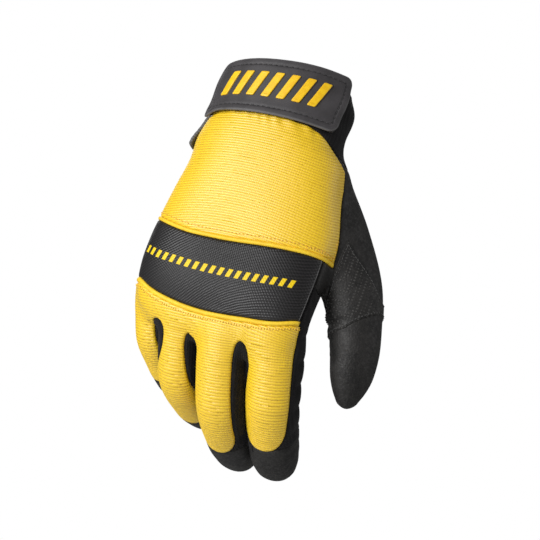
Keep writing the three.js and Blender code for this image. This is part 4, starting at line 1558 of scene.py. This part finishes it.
def add_camera():
    """The camera, and the directions to it, to the right of its picture and to the top of it."""
    azimuth, elevation, roll = (math.radians(v) for v in (CAMERA_AZIMUTH, CAMERA_ELEVATION, CAMERA_ROLL))
    to_eye = Vector((math.sin(azimuth) * math.cos(elevation), -math.cos(azimuth) * math.cos(elevation),
                     math.sin(elevation)))
    level = Vector((math.cos(azimuth), math.sin(azimuth), 0))
    upright = to_eye.cross(level)
    right = level * math.cos(roll) + upright * math.sin(roll)
    up = upright * math.cos(roll) - level * math.sin(roll)
    data = bpy.data.cameras.new("camera")
    data.sensor_width = 36
    data.lens = data.sensor_width * FOCAL_PIXELS / PICTURE
    data.shift_x = (PICTURE / 2 - TARGET_PIXEL[0]) / PICTURE
    data.shift_y = (TARGET_PIXEL[1] - PICTURE / 2) / PICTURE
    data.clip_end = 50
    camera = bpy.data.objects.new("camera", data)
    turn = Matrix((right, up, to_eye)).transposed().to_4x4()
    camera.matrix_world = Matrix.Translation((CAMERA_TARGET + to_eye * CAMERA_DISTANCE) * MM) @ turn
    bpy.context.scene.collection.objects.link(camera)
    bpy.context.scene.camera = camera
    return to_eye, right, up


def add_light(name, place, size, power):
    data = bpy.data.lights.new(name, "AREA")
    data.size = size
    data.energy = power
    light = bpy.data.objects.new(name, data)
    light.location = place
    light.visible_camera = False
    light.rotation_euler = (CAMERA_TARGET * MM - place).to_track_quat("-Z", "Y").to_euler()
    bpy.context.scene.collection.objects.link(light)


def add_world(seen, cast):
    """A white studio: what the camera sees of it, and the light that it casts."""
    world = bpy.data.worlds.new("studio")
    world.use_nodes = True
    tree = world.node_tree
    background = tree.nodes["Background"]
    background.inputs["Color"].default_value = (1, 1, 1, 1)
    path = tree.nodes.new("ShaderNodeLightPath")
    strength = tree.nodes.new("ShaderNodeMapRange")
    strength.inputs["To Min"].default_value = cast
    strength.inputs["To Max"].default_value = seen
    tree.links.new(path.outputs["Is Camera Ray"], strength.inputs["Value"])
    tree.links.new(strength.outputs[0], background.inputs["Strength"])
    bpy.context.scene.world = world


FLOOR_HALF = 4


def add_floor(height):
    shade = Shade("pale_floor", 0.9)
    tone = shade.noise(shade.place(), 200.0, 3.0)
    shade.set(Base_Color=shade.mix(tone, (0.86, 0.86, 0.86), (0.9, 0.9, 0.9)))
    mesh = bpy.data.meshes.new("floor")
    corners = [(x * FLOOR_HALF, y * FLOOR_HALF, height) for x, y in ((-1, -1), (1, -1), (1, 1), (-1, 1))]
    mesh.from_pydata(corners, [], [(0, 1, 2, 3)])
    mesh.materials.append(shade.material)
    floor = bpy.data.objects.new("floor", mesh)
    bpy.context.scene.collection.objects.link(floor)
    floor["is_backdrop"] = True


bpy.context.scene.view_settings.view_transform = "Standard"
to_eye, right, up = add_camera()
target = CAMERA_TARGET * MM
add_light("key_light", target + to_eye * 0.75 - right * 0.8 + up * 0.5, size=0.6, power=15.2)
add_light("fill_light", target + to_eye * 0.2 + right * 1.1 + up * 0.2, size=0.8, power=2.9)
add_light("back_light", target - to_eye * 0.8 + up * 0.35, size=0.7, power=2.4)
add_world(seen=1.0, cast=0.18)
add_floor(height=-0.62)

corners = lambda box: [[float(v) for v in corner] for corner in box]
{"cad": corners(cad_bounds), "visual": corners(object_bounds())}
